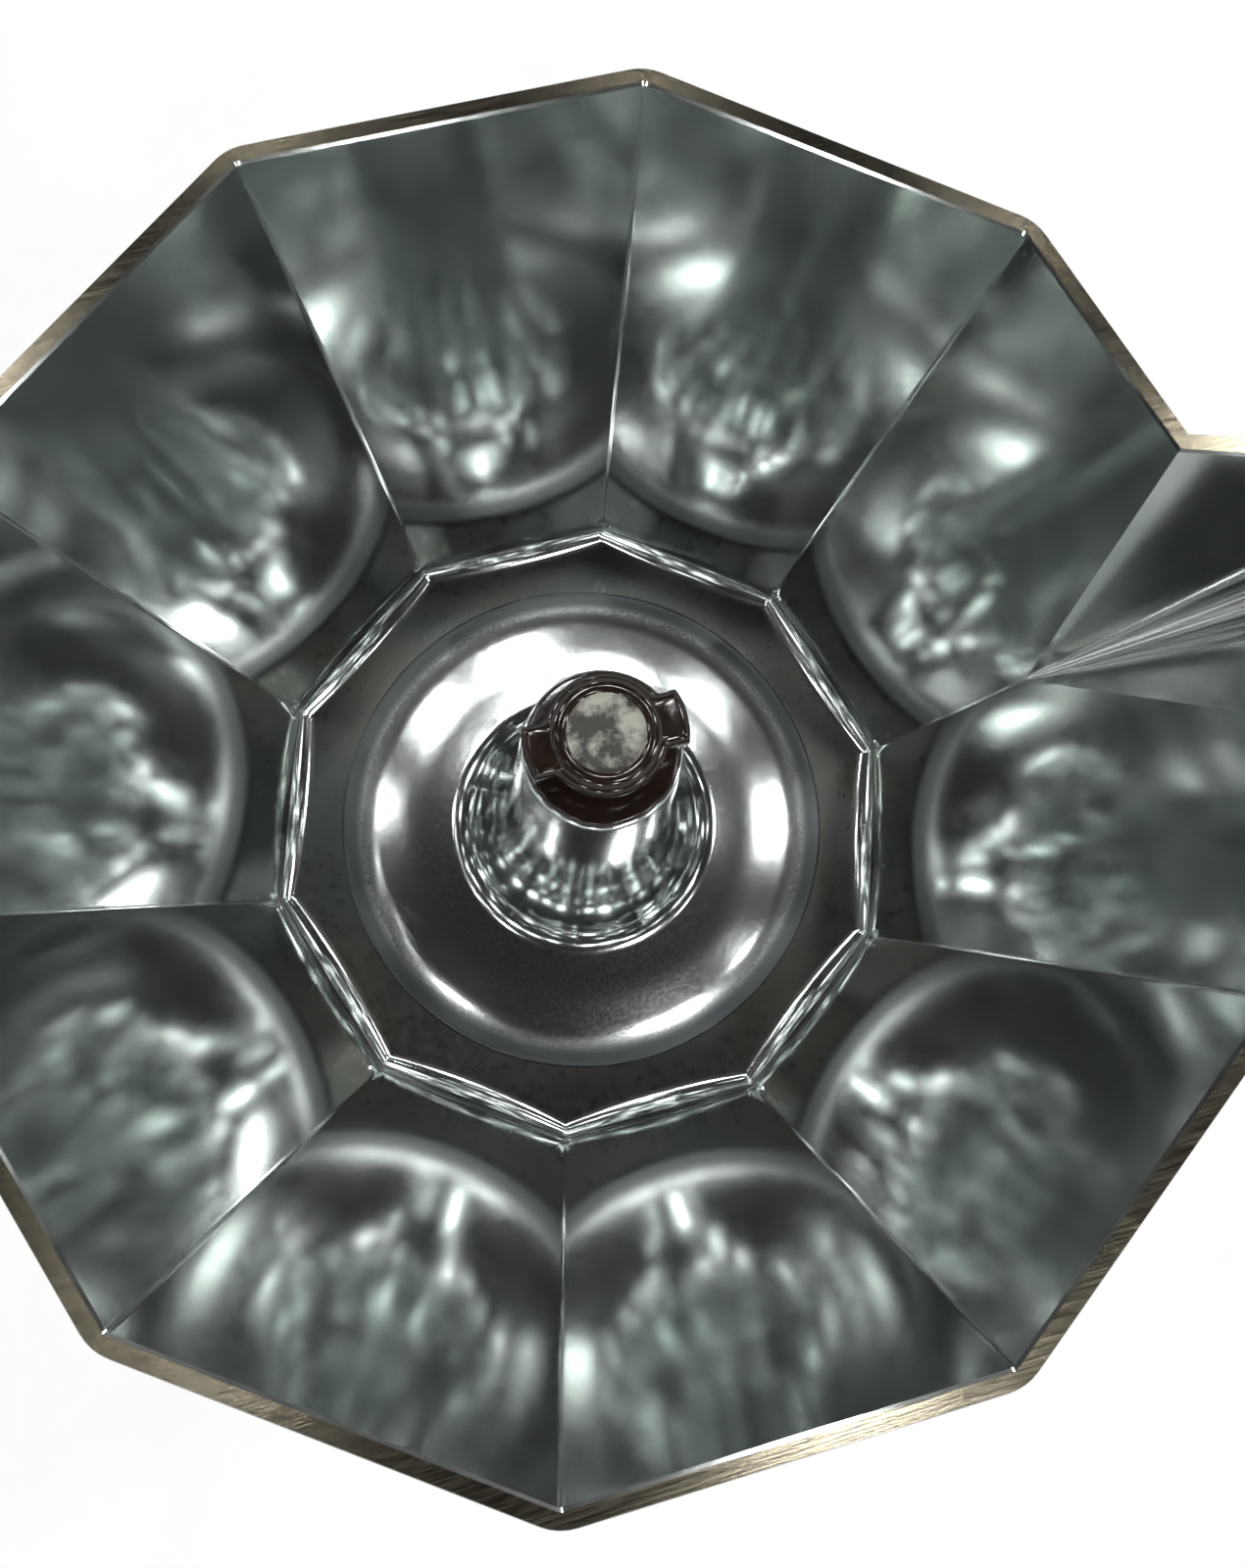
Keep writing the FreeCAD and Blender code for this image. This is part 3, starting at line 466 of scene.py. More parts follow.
def inner_flat(z):
    """Distance from the axis to the chamber's flat inner side at a height."""
    return floor_flat + (rim_flat - floor_flat) * (z - floor_z) / (rim_z - floor_z)


def outer_flat(z):
    """The same for the casting's outer side."""
    return waist_flat + (rim_outer_flat - waist_flat) * (z - skirt_top_z) / (rim_z - skirt_top_z)


def spout_plan(offset, side_flat):
    """The spout seen from above, from the -Y root round the nose to the +Y root, each (x, y)."""
    slope = Vector((math.cos(spout_half_angle), math.sin(spout_half_angle)))
    root = Vector((rim_corner - spout_mouth * math.sin(HALF_SIDE), spout_mouth * math.cos(HALF_SIDE)))
    tip = root.x + root.y / math.tan(spout_half_angle) + offset / math.sin(spout_half_angle)
    side_normal = Vector((math.cos(HALF_SIDE), math.sin(HALF_SIDE)))
    back = Vector((-slope.x, slope.y))
    far = (side_flat - tip * side_normal.x) / back.dot(side_normal)
    outer_root = Vector((tip, 0)) + back * far
    radius = spout_nose_radius + offset
    centre_x = tip - radius / math.sin(spout_half_angle)
    limit = math.pi / 2 - spout_half_angle
    straight = 6                  # points along each straight side of the plan
    nose = SPOUT_STEPS - 2 * straight
    half = [Vector((centre_x + radius * math.cos(turn), radius * math.sin(turn)))
            for turn in (limit * 2 * k / nose for k in range(nose // 2 + 1))]
    for k in range(1, straight + 1):
        half.append(half[nose // 2].lerp(outer_root, k / straight))
    return [Vector((p.x, -p.y)) for p in reversed(half[1:])] + half


spout_start_z = floor_z + (rim_z - floor_z) * spout_start
spout_start_x = inner_flat(spout_start_z) * FLAT_TO_CORNER
spout_tip_x = max(p.x for p in spout_plan(0, rim_flat))
channel_slope = (spout_tip_x - spout_start_x) / (rim_z - spout_start_z)


def outer_start_z():
    """Height at which the spout's outer keel leaves the outer corner edge."""
    lean = (rim_outer_flat - waist_flat) / (rim_z - skirt_top_z) * FLAT_TO_CORNER
    drop = rim_wall * math.hypot(1, channel_slope)
    keel_x = spout_start_x + drop
    corner_x = outer_flat(spout_start_z) * FLAT_TO_CORNER
    return spout_start_z + (keel_x - corner_x) / (lean - channel_slope)


def spout_front(z, start_z, plan, flat_at, radius):
    """Points at the spout's corner at height z: the plain corner, then the widening channel."""
    if z <= start_z:
        return corner_arc(flat_at(z), radius, 0, SPOUT_STEPS)
    share = (z - start_z) / (rim_z - start_z)
    low = corner_arc(flat_at(start_z), radius, 0, SPOUT_STEPS)
    return [a.lerp(b, share) for a, b in zip(low, plan)]


# ------------------------ collector

def make_collector():
    """Chamber, spout, rim, skirt and underside in one closed skin."""
    finishes = [cast_wall, machined_rim, floor_metal, cast_outside]
    inner_plan = spout_plan(0, rim_flat)
    outer_plan = spout_plan(rim_wall, rim_outer_flat)
    keel_z = outer_start_z()

    def inner_ring(z):
        front = spout_front(z, spout_start_z, inner_plan, inner_flat, corner_fillet)
        return ring(inner_flat(z), corner_fillet, front)

    def outer_ring(z):
        front = spout_front(z, keel_z, outer_plan, outer_flat, outer_corner_round)
        return ring(outer_flat(z), outer_corner_round, front)

    lean = math.atan((rim_flat - floor_flat) / (rim_z - floor_z))

    def cove_ring(turn):
        """Ring where the cove leans turn from upright; its radius grows towards each side's middle."""
        reach = math.tan((math.pi / 2 - lean) / 2) - math.cos(turn)
        flat = floor_flat - cove_corner * reach
        points = ring(flat, corner_fillet, corner_arc(flat, corner_fillet, 0, SPOUT_STEPS),
                      (cove_middle - cove_corner) * reach)
        rise = 1 - math.sin(turn)
        return [Vector((p.x, p.y, floor_z + rise * (cove_corner + (cove_middle - cove_corner) * swell)))
                for p, swell in zip(points, swells())]

    # Floor ring, tucked under the dome's edge, then the cove and the inner sides up to the rim.
    rings = [circle_ring(dome_radius - dome_lap, floor_z - 0.6), circle_ring(dome_radius - 1, floor_z)]
    rings += [cove_ring(math.radians(turn)) for turn in range(90, 17, -6)]
    rings.append(cove_ring(lean))
    for z in (floor_z + 5, floor_z + 8, floor_z + 12, floor_z + 20, floor_z + 30, spout_start_z - 0.5,
              spout_start_z, spout_start_z + 0.5, spout_start_z + 5, spout_start_z + 12, spout_start_z + 20,
              rim_z - 6, rim_z - rim_bevel):
        rings.append(at_height(inner_ring(z), z))

    # Rim, then down the outer sides to the skirt.
    inside, outside = inner_ring(rim_z), outer_ring(rim_z)
    for share in (rim_bevel / rim_wall, 0.35, 0.65, 1 - rim_bevel / rim_wall):
        rings.append(at_height([a.lerp(b, share) for a, b in zip(inside, outside)], rim_z))
    for z in (rim_z - rim_bevel, rim_z - 8, rim_z - 16, rim_z - 25, keel_z + 2, keel_z, keel_z - 2,
              skirt_top_z + 20, skirt_top_z + 10):
        rings.append(at_height(outer_ring(z), z))
    for share in (0.0, 0.2, 0.4, 0.6, 0.8, 1.0):
        # The skirt turns from the sloping side to its slightly flared foot.
        z = skirt_top_z + skirt_turn - 2 * skirt_turn * share
        flat = waist_flat + side_slope * skirt_turn * (1 - share) ** 2 + foot_slope * skirt_turn * share ** 2
        rings.append(at_height(ring(flat, outer_corner_round), z))
    rings.append(at_height(ring(foot_flat, outer_corner_round), foot_z + foot_edge))
    rings.append(at_height(ring(foot_flat - foot_edge, outer_corner_round), foot_z))

    # Underside: the thread's bore, the gasket's recess and the seat.
    recess_z = mouth_z + 0.3
    for radius, z in ((thread_root + foot_edge, foot_z), (thread_root, foot_z + foot_edge),
                      (thread_root, recess_z), (recess_radius, recess_z), (recess_radius, seat_z + face_gap),
                      (dome_radius - dome_lap, seat_z + face_gap)):
        rings.append(circle_ring(radius, z))
    bm = lofted(rings, close=True)
    bmesh.ops.recalc_face_normals(bm, faces=bm.faces)
    for face in bm.faces:
        centre = face.calc_center_median()
        if centre.z > rim_z - 0.01:
            face.material_index = finishes.index(machined_rim)
        elif face.normal.dot(Vector((centre.x, centre.y, 0)).normalized()) > 0.1:
            face.material_index = finishes.index(cast_outside)
        # The flat floor ring takes the finish with the painted dark reflection.
        elif floor_z - 0.5 < centre.z < floor_z + 0.1 and math.hypot(centre.x, centre.y) < floor_flat:
            face.material_index = finishes.index(floor_metal)
    piece_from(bm, "collector_body", "collector", finishes, ["collector"], smooth=20)


def make_dome():
    """Domed floor, column and its bore, turned on a lathe."""
    top = rounded([
        (dome_radius, floor_z - 0.5),
        (dome_radius, floor_z + dome_step, 0.4),
        (34.1, floor_z + 0.87, 0.6),
        (30.8, floor_z + 1.45, 30.0),
        (24.5, floor_z + 1.85, 80.0),
        (16.3, floor_z + 2.0, 4.5),
        (12.6, floor_z + 11.0, 30.0),
        (10.2, floor_z + 24.0, 60.0),
        (column_radius, lip_z, 0.35),
        (column_radius - column_wall, lip_z, 0.25),
        (column_radius - column_wall, lip_z - 8.0),
        (8.2, floor_z + 24.0, 20.0),
        (11.0, floor_z + 9.0, 10.0),
        (16.3, floor_z - 0.4, 6.0),
        (dome_radius - 2.4, floor_z - 1.4, 1.0),
        (dome_radius - 2.4, seat_z + 0.2),
        (dome_radius - 1.2, seat_z + 0.2),
        (dome_radius, floor_z - 0.5),
    ], steps=10)
    piece_from(spun(top, segments=256), "collector_dome", "collector", [turned_metal], smooth=25)


def helix_ridge(root, crest, start_z, turns, pitch, name, body, material):
    """Thread ridge between two radii, wound up from start_z, with sloping flanks and a flat crest."""
    steps = 72                    # for each turn
    half = pitch * 0.3
    crest_half = half * 0.4
    skin = 0.15
    bm = bmesh.new()
    section = [bm.verts.new((radius, 0, start_z + rise))
               for radius, rise in ((root, -half), (crest, -crest_half), (crest, crest_half), (root, half))]
    edges = [bm.edges.new(pair) for pair in zip(section, section[1:])]
    bmesh.ops.spin(bm, geom=section + edges, cent=ORIGIN, axis=UP, angle=2 * math.pi * turns,
                   steps=round(steps * turns), dvec=(0, 0, pitch / steps))
    bmesh.ops.solidify(bm, geom=bm.faces, thickness=-skin)
    piece_from(bm, name, body, [material], smooth=40)


def make_lugs():
    """Shelf, hinge ears and the tongue that the handle is pinned to."""
    root_x = -(rim_corner - 2.0)
    ear_back = hinge_x - barrel_radius
    low_x = -(outer_flat(shelf_bottom) * FLAT_TO_CORNER - 1.0)
    bm = bmesh.new()
    add_plate(bm, rounded([(low_x, shelf_bottom), (ear_back, shelf_bottom, 1.0), (ear_back, shelf_top, 1.0),
                           (root_x, shelf_top)]), 0, 2 * ear_outer)

    ear_root_z = rim_z - 0.3
    ear = [(low_x, shelf_bottom), (ear_back, shelf_bottom)]
    ear += [(hinge_x - barrel_radius * math.cos(turn), hinge_z + barrel_radius * math.sin(turn))
            for turn in (math.pi * k / 20 for k in range(21))]
    ear += [(hinge_x + barrel_radius, ear_root_z), (root_x, ear_root_z)]
    for side in (-1, 1):
        add_plate(bm, ear, side * (ear_outer + ear_inner) / 2, ear_outer - ear_inner)

    tongue_low = shelf_bottom - 22.0
    tongue_back = hinge_x - 9.5
    tongue_top = shelf_bottom - face_gap
    tongue_root = -(outer_flat(tongue_low) * FLAT_TO_CORNER - 1.0)
    tongue = rounded([(low_x, shelf_bottom + 0.5), (ear_back, shelf_bottom + 0.5), (ear_back, tongue_top),
                      (tongue_back, tongue_top), (tongue_back, tongue_low, 4.0), (tongue_root, tongue_low)])
    add_plate(bm, tongue, 0, tongue_width)

    bmesh.ops.recalc_face_normals(bm, faces=bm.faces)
    sharp = [e for e in bm.edges if len(e.link_faces) == 2 and e.calc_face_angle() > 0.8]
    round_edges(bm, sharp, 0.5)
    piece_from(bm, "collector_lugs", "collector", [cast_outside], smooth=35)


# ------------------------ outlet cap

cap_lug_reach = 7.05
cap_lug_half = 2.3
cap_button_radius = 5.25
cap_edge_round = 0.7
cap_tube_inner = 4.3
cap_tube_outer = 5.48
cap_flange_radius = 7.0
cap_flange_top = lip_z + 1.0
cap_low = cap_flange_top + 3.2        # button's underside, above the slots that the coffee leaves by
cap_lug_top = cap_low + 3.8
cap_high = cap_low + 4.3


def cap_plan(inset, steps=10):
    """Button with its two lugs, seen from above and drawn in by inset, each (x, y)."""
    round_out = cap_button_radius - inset
    half = cap_lug_half - inset
    reach = cap_lug_reach - inset
    edge = math.asin(half / round_out)
    tip = math.asin(half / reach)
    quarter = [Vector((reach * math.cos(tip * k / 4), reach * math.sin(tip * k / 4))) for k in range(5)]
    corner = Vector((round_out * math.cos(edge), round_out * math.sin(edge)))
    quarter += [quarter[-1].lerp(corner, share) for share in (0.35, 0.7)]
    quarter += [Vector((round_out * math.cos(turn), round_out * math.sin(turn)))
                for turn in (edge + (math.pi / 2 - edge) * k / steps for k in range(steps + 1))]
    top = quarter + [Vector((-p.x, p.y)) for p in reversed(quarter[:-1])]
    return top + [Vector((p.x, -p.y)) for p in reversed(top[1:-1])]


def make_cap():
    """Moulded cap: a button with two lugs, on two posts over a collar that is pressed into the column."""
    rings = []
    for inset, rise in ((0.5, 0.0), (0.15, 0.1), (0.0, 0.45)):
        rings.append(at_height(cap_plan(inset), cap_low + rise))
    edge_z = cap_lug_top - cap_edge_round
    rings.append(at_height(cap_plan(0.0), edge_z))
    for turn in (math.pi / 2 * k / 5 for k in range(1, 6)):
        inset = cap_edge_round * (1 - math.cos(turn))
        rings.append(at_height(cap_plan(inset), edge_z + cap_edge_round * math.sin(turn)))

    # Raised round top with a rolled rim and a shallow dish.
    rounds = [Vector((p.x, p.y)).normalized() for p in cap_plan(cap_edge_round)]
    for radius, z in ((4.72, cap_lug_top + 0.02), (4.55, cap_lug_top + 0.25), (4.3, cap_high - 0.08),
                      (4.0, cap_high), (3.6, cap_high - 0.02), (3.35, cap_high - 0.1), (3.2, cap_high - 0.3),
                      (2.6, cap_high - 0.36), (1.4, cap_high - 0.4), (0.4, cap_high - 0.4)):
        rings.append([Vector((p.x * radius, p.y * radius, z)) for p in rounds])
    bm = lofted(rings)
    finishes = [cap_phenolic, cap_top_painted_sheen]
    for face in bm.faces:
        centre = face.calc_center_median()
        # The rough round top takes the pale finish with its painted sheen.
        if centre.z > cap_high - 0.45 and math.hypot(centre.x, centre.y) < 3.3:
            face.material_index = finishes.index(cap_top_painted_sheen)
    piece_from(bm, "cap_button", "collector", finishes, ["column_cap"], smooth=50)

    collar_low, flange_low = lip_z - 7.6, lip_z + face_gap
    collar = spun(rounded([
        (cap_tube_inner, collar_low), (cap_tube_outer, collar_low, 0.2), (cap_tube_outer, flange_low),
        (cap_flange_radius, flange_low, 0.15), (cap_flange_radius, cap_flange_top, 0.35),
        (cap_tube_inner, cap_flange_top, 0.25), (cap_tube_inner, collar_low)]))
    piece_from(collar, "cap_collar", "collector", [cap_phenolic], smooth=40)

    posts = bmesh.new()
    sink = 0.5                    # how far the posts run into collar and button
    half = math.asin(2.2 / cap_tube_outer)
    for side in (0, math.pi):
        corners = [(cap_tube_inner, cap_flange_top - sink), (cap_tube_outer, cap_flange_top - sink),
                   (cap_tube_outer, cap_low + sink), (cap_tube_inner, cap_low + sink)]
        face = posts.faces.new([posts.verts.new((r * math.cos(side - half), r * math.sin(side - half), z))
                                for r, z in corners])
        bmesh.ops.spin(posts, geom=[face], cent=ORIGIN, axis=UP, angle=2 * half, steps=12)
    piece_from(posts, "cap_posts", "collector", [cap_phenolic], smooth=40)


# ------------------------ boiler

boiler_foot_flat = 57.5
boiler_band = 9.0
boiler_wall = 3.0
boiler_floor_z = 3.5
boiler_inner_round = 3.0
mouth_radius = 36.5
thread_pitch = 4.0
thread_turns = 1.75
valve_z = 72.0
valve_azimuth = -54.0
boss_bore = 5.0
boss_radius = 9.0
boss_length = 9.0
boss_reach = 2.0              # how far the boss stands out of the boiler's side


def boiler_flat(z):
    """Distance from the axis to the boiler's flat outer side at a height."""
    return boiler_foot_flat + (waist_flat - boiler_foot_flat) * (z - boiler_band) / (shoulder_z - boiler_band)


def make_boiler():
    """Ten-sided boiler with its turned neck, thread ridge and the boss of the safety valve."""
    def skin(points, radius):
        return [at_height(ring(flat, radius), z) for flat, z in points]

    side = [(boiler_foot_flat - 3.0, 0.0), (boiler_foot_flat - 1.5, 0.0, 0.4), (boiler_foot_flat, 1.5, 0.4),
            (boiler_foot_flat, boiler_band, 4.0), (waist_flat, shoulder_z, 5.0),
            (waist_flat - 6.0, shoulder_z)]
    outside = rounded(side, steps=8)[1:-1]
    middle = [(boiler_flat(z), z) for z in (25.0, 45.0, 65.0, 85.0)]
    cut = next(i for i, point in enumerate(outside) if point[1] > 20)
    outside = outside[:cut] + middle + outside[cut:]

    # Underside with its shallow recess, outside, neck and mouth, then down inside to the floor.
    rings = [circle_ring(8.0, 0.4), circle_ring(45.0, 0.4), circle_ring(47.0, 0.0)]
    rings += skin(outside, outer_corner_round)
    under_shoulder = shoulder_z - boiler_wall
    for radius, z in ((neck_radius + 0.5, shoulder_z), (neck_radius - 0.35, shoulder_z + 0.5),
                      (neck_radius - 0.8, shoulder_z + 1.0), (neck_radius - 0.8, mouth_z - 1.0),
                      (neck_radius - 1.3, mouth_z - 0.2), (neck_radius - 1.6, mouth_z),
                      (mouth_radius + 0.5, mouth_z), (mouth_radius, mouth_z - 0.5),
                      (mouth_radius, under_shoulder + 0.5)):
        rings.append(circle_ring(radius, z))
    inside = rounded([(waist_flat - 9.0, under_shoulder), (waist_flat - boiler_wall, under_shoulder, 5.0),
                      (boiler_foot_flat - boiler_wall, boiler_band, 4.0),
                      (boiler_foot_flat - boiler_wall, boiler_floor_z, 5.0), (30.0, boiler_floor_z)])[1:-1]
    rings += skin(inside, boiler_inner_round)
    rings += [circle_ring(30.0, boiler_floor_z), circle_ring(8.0, boiler_floor_z)]
    bm = lofted(rings)
    finishes = [cast_outside, turned_neck, boiler_inside]
    for face in bm.faces:
        centre = face.calc_center_median()
        across = math.hypot(centre.x, centre.y)
        if centre.z > shoulder_z + 0.6 and across > mouth_radius - 0.5:
            face.material_index = finishes.index(turned_neck)
        elif 1.0 < centre.z < shoulder_z - 1 and across < boiler_flat(centre.z) - 1.5:
            face.material_index = finishes.index(boiler_inside)
        elif centre.z < 0.3 or 3 < centre.z < 5 and across < 50:
            face.material_index = finishes.index(boiler_inside)
    piece_from(bm, "boiler_body", "boiler", finishes, ["boiler"], smooth=25)
    helix_ridge(neck_radius - 0.9, neck_radius + 0.3, shoulder_z + 2.5, thread_turns, thread_pitch,
                "boiler_thread", "boiler", turned_neck)

    # Round boss that the safety valve is screwed into, turned on its own axis and then laid on its side.
    boss = spun(rounded([(boss_bore, 0.0), (boss_radius, 0.0, 0.3), (boss_radius, boss_length, 0.6),
                         (boss_bore, boss_length, 0.2), (boss_bore, 0.0)]), segments=64)
    bmesh.ops.rotate(boss, cent=ORIGIN, matrix=Matrix.Rotation(math.pi / 2, 3, "Y"), verts=boss.verts)
    bmesh.ops.translate(boss, vec=(boiler_flat(valve_z) + boss_reach - boss_length, 0, valve_z),
                        verts=boss.verts)
    bmesh.ops.rotate(boss, cent=ORIGIN, matrix=Matrix.Rotation(math.radians(valve_azimuth), 3, "Z"),
                     verts=boss.verts)
    piece_from(boss, "boiler_valve_boss", "boiler", [cast_outside], smooth=35)


# ------------------------ lid and knob

lid_open_angle = 100.0
lid_overhang = 0.4
lid_low = rim_z + 0.3
lid_flat = rim_outer_flat + lid_overhang
lid_edge_z = lid_low + 3.0
lid_top_z = lid_edge_z + 10.0
lid_top_flat = 17.0
lid_thick = 2.0
lid_corner_round = 1.2
lid_inner_round = 1.0
barrel_half_width = 3.7
knob_height = 22.0
knob_corner_round = 1.6
knob_bore = 3.65
knob_bore_depth = 11.0


def opened(bm):
    """Turns what was modelled on the closed lid to where the lid stands fully open."""
    bmesh.ops.rotate(bm, cent=(hinge_x, 0, hinge_z),
                     matrix=Matrix.Rotation(math.radians(-lid_open_angle), 3, "Y"), verts=bm.verts)
    return bm


def make_lid():
    """Shallow ten-sided lid with a beak over the spout, its hinge barrel, and the heel that stops it open."""
    beak_offset = rim_wall + lid_overhang
    inner_flat_low = lid_flat - lid_thick
    plan_out = spout_plan(beak_offset, lid_flat)
    plan_in = spout_plan(beak_offset - lid_thick, inner_flat_low)

    def lid_ring(share, z, plan, edge_flat, radius, shrink=0.0):
        """share runs from 0 at the edge to 1 at the flat top; the beak narrows to its corner on the way."""
        flat = edge_flat + (lid_top_flat - edge_flat) * share - shrink
        plain = corner_arc(flat, radius, 0, SPOUT_STEPS)
        front = [a.lerp(b, share) for a, b in zip(plan, plain)]
        if shrink:
            front = [p * (1 - shrink / p.length) for p in front]
        return at_height(ring(flat, radius, front), z)

    # Upright edge, sloping top, flat middle with the knob screw's hole, then back along the inside.
    rings = []
    for z, shrink in ((lid_low, 0.3), (lid_low + 0.1, 0.1), (lid_low + 0.3, 0.0), (lid_edge_z - 0.9, 0.0),
                      (lid_edge_z - 0.45, 0.08), (lid_edge_z - 0.1, 0.35)):
        rings.append(lid_ring(0.0, z, plan_out, lid_flat, lid_corner_round, shrink))
    for share in (0.02, 0.06, 0.2, 0.4, 0.6, 0.8, 0.9):
        z = lid_edge_z + (lid_top_z - lid_edge_z) * share
        rings.append(lid_ring(share, z, plan_out, lid_flat, lid_corner_round))
    for share, drop in ((0.96, 0.55), (1.02, 0.25), (1.1, 0.06), (1.2, 0.0)):
        flat = lid_flat + (lid_top_flat - lid_flat) * share
        radius = lid_corner_round + 4 * share
        rings.append(at_height(ring(flat, radius), lid_top_z - drop))
    under_top = lid_top_z - lid_thick
    rings += [circle_ring(6.0, lid_top_z), circle_ring(2.2, lid_top_z), circle_ring(2.2, under_top),
              circle_ring(8.0, under_top)]
    for share in (1.0, 0.8, 0.6, 0.4, 0.2, 0.04):
        z = lid_edge_z - lid_thick + (lid_top_z - lid_edge_z) * share
        rings.append(lid_ring(share, z, plan_in, inner_flat_low, lid_inner_round))
    for rise in (0.2, 0.0):
        rings.append(lid_ring(0.0, lid_low + rise, plan_in, inner_flat_low + 0.2 - rise, lid_inner_round))
    piece_from(opened(lofted(rings, close=True)), "lid_shell", "lid", [cast_outside], ["lid"], smooth=25)

    tab = bmesh.new()
    barrel = [(hinge_x + barrel_radius * math.cos(turn), hinge_z + barrel_radius * math.sin(turn))
              for turn in (2 * math.pi * k / 40 for k in range(40))]
    tab_root_x = -(lid_flat * FLAT_TO_CORNER - 1.8)
    strap = [(tab_root_x, lid_low + 0.3), (hinge_x, lid_low + 0.3), (hinge_x, lid_edge_z + 0.3),
             (tab_root_x, lid_edge_z)]
    for outline in (barrel, strap):
        add_plate(tab, outline, 0, 2 * barrel_half_width)
    rims = [e for e in tab.edges
            if len(e.link_faces) == 2 and abs(e.verts[0].co.y - e.verts[1].co.y) < 1e-6]
    bmesh.ops.recalc_face_normals(tab, faces=tab.faces)
    round_edges(tab, rims, 0.35)
    piece_from(opened(tab), "lid_hinge_barrel", "lid", [cast_outside], smooth=35)

    heel = bmesh.new()
    heel_length, heel_height = 4.0, 5.0
    bmesh.ops.create_cube(heel, size=1.0)
    bmesh.ops.scale(heel, vec=(heel_length, 2 * barrel_half_width - 0.1, heel_height), verts=heel.verts)
    bmesh.ops.translate(heel, vec=(hinge_x - heel_length / 2, 0, hinge_z - heel_height / 2), verts=heel.verts)
    round_edges(heel, heel.edges[:], 0.3)
    piece_from(heel, "lid_stop_heel", "lid", [cast_outside], smooth=35)


def make_knob():
    """Ten-sided knob, narrow at the foot, with a low crowned top and a bore for its insert."""
    side = rounded([(3.7, 0.0), (7.5, 0.0, 0.5), (12.0, 19.5, 1.4), (7.5, knob_height, 3.5),
                    (0.4, knob_height)], steps=8)
    rings = [circle_ring(knob_bore, lid_top_z + rise) for rise in (knob_bore_depth, face_gap)]
    for flat, z in side[:-1]:
        corner = knob_corner_round if flat > 6 else min(knob_corner_round, flat * 0.4)
        rings.append(at_height(ring(flat, corner), lid_top_z + z))
    rings += [circle_ring(radius, lid_top_z + knob_height) for radius in (3.0, 0.5)]
    piece_from(opened(lofted(rings)), "lid_knob", "lid", [phenolic], ["knob"], smooth=25)


# ------------------------ handle

handle_gap = 0.3              # to the shelf and the ears
handle_top_width = 15.0
handle_widening = 6.0         # from the arm to the grip's lower end
handle_round = 4.3


def make_handle():
    """Moulded handle: one side outline, wider towards the grip's lower end, with well rounded edges."""
    arm_top = rim_z - 4.6
    arm_low = arm_top - 26.0
    low = rim_z - 96.0
    shelf_gap_z = shelf_bottom - handle_gap
    step_x = hinge_x - barrel_radius - handle_gap
    side = rounded([
        (-(outer_flat(shelf_bottom) * FLAT_TO_CORNER + 1.0), shelf_gap_z),
        (step_x, shelf_gap_z),
        (step_x, arm_top, 2.0),
        (-104.0, arm_top + 2.0, 18.0),
        (-108.0, low + 18.0, 45.0),
        (-111.0, low, 5.5),
        (-96.0, low, 5.5),
        (-93.0, low + 18.0, 45.0),
        (-89.0, arm_low, 13.0),
        (-(outer_flat(arm_low) * FLAT_TO_CORNER + 1.0), arm_low, 2.0),
    ], steps=8)
    bm = bmesh.new()
    add_plate(bm, side, 0, 2.0)
    for vert in bm.verts:
        share = (arm_top - vert.co.z) / (arm_top - low)
        vert.co.y *= (handle_top_width + handle_widening * share) / 2
    bmesh.ops.recalc_face_normals(bm, faces=bm.faces)
    rims = [e for e in bm.edges if e.verts[0].co.y * e.verts[1].co.y > 0]
    round_edges(bm, rims, handle_round, segments=7)
    piece_from(bm, "handle_grip", "collector", [phenolic], ["handle"], smooth=35)


# ------------------------ camera

def set_camera():
    """Held low over the open chamber and a little to one side, looking almost straight down."""
    data = bpy.data.cameras.new("camera")
    data.sensor_fit = "VERTICAL"
    data.sensor_height = 36.0
    data.lens = 26.325
    data.clip_start = 0.01
    camera = placed("camera", data)
    bpy.context.scene.camera = camera
    place = Vector((-0.00826, -0.01524, 0.2893))
    right = Vector((0.9654, -0.2544, 0.0582))
    back = Vector((-0.0900, -0.1150, 0.9893)).normalized()
    up = back.cross(right).normalized()
    right = up.cross(back)
    camera.matrix_world = Matrix.Translation(place) @ Matrix((right, up, back)).transposed().to_4x4()


# ------------------------ studio, in metres

floor_drop = 0.0005           # floor below the pot's foot
floor_reach = 1.6             # radius of the flat floor
cove_reach = 0.6              # radius of the curve from floor to backdrop
backdrop_top = 1.6
floor_lift = 0.6              # glow where the floor is seen or mirrored; nothing matt is lit by it

panel_glow = 135.0            # watts for each square metre of panel
panel_scale = 0.85            # every panel's side is its own size times this
panel_away = 2.0
panel_aim = (0, 0, 0.15)
panel_middle = 0.16           # height that the panels stand around
room_glow = 0.02

# Azimuth from the spout and tilt from straight up in degrees, then the side in metres.
panels = [(-70, 21, 0.22), (-37, 19, 0.06), (3, 20, 0.13), (40, 20, 0.11), (64, 18, 0.12),
          (88, 20, 0.17), (112, 19, 0.12), (143, 20, 0.08), (188, 21, 0.07), (212, 21, 0.09)]
panels += [(16, 40, 0.17), (44, 43, 0.06), (70, 40, 0.04), (96, 43, 0.06), (122, 41, 0.14),
           (156, 40, 0.19), (232, 42, 0.16), (272, 44, 0.18), (306, 41, 0.15), (340, 43, 0.17)]
panels += [(30, 56, 0.16), (84, 54, 0.14), (138, 56, 0.16), (250, 55, 0.14), (300, 54, 0.18),
           (340, 56, 0.16)]


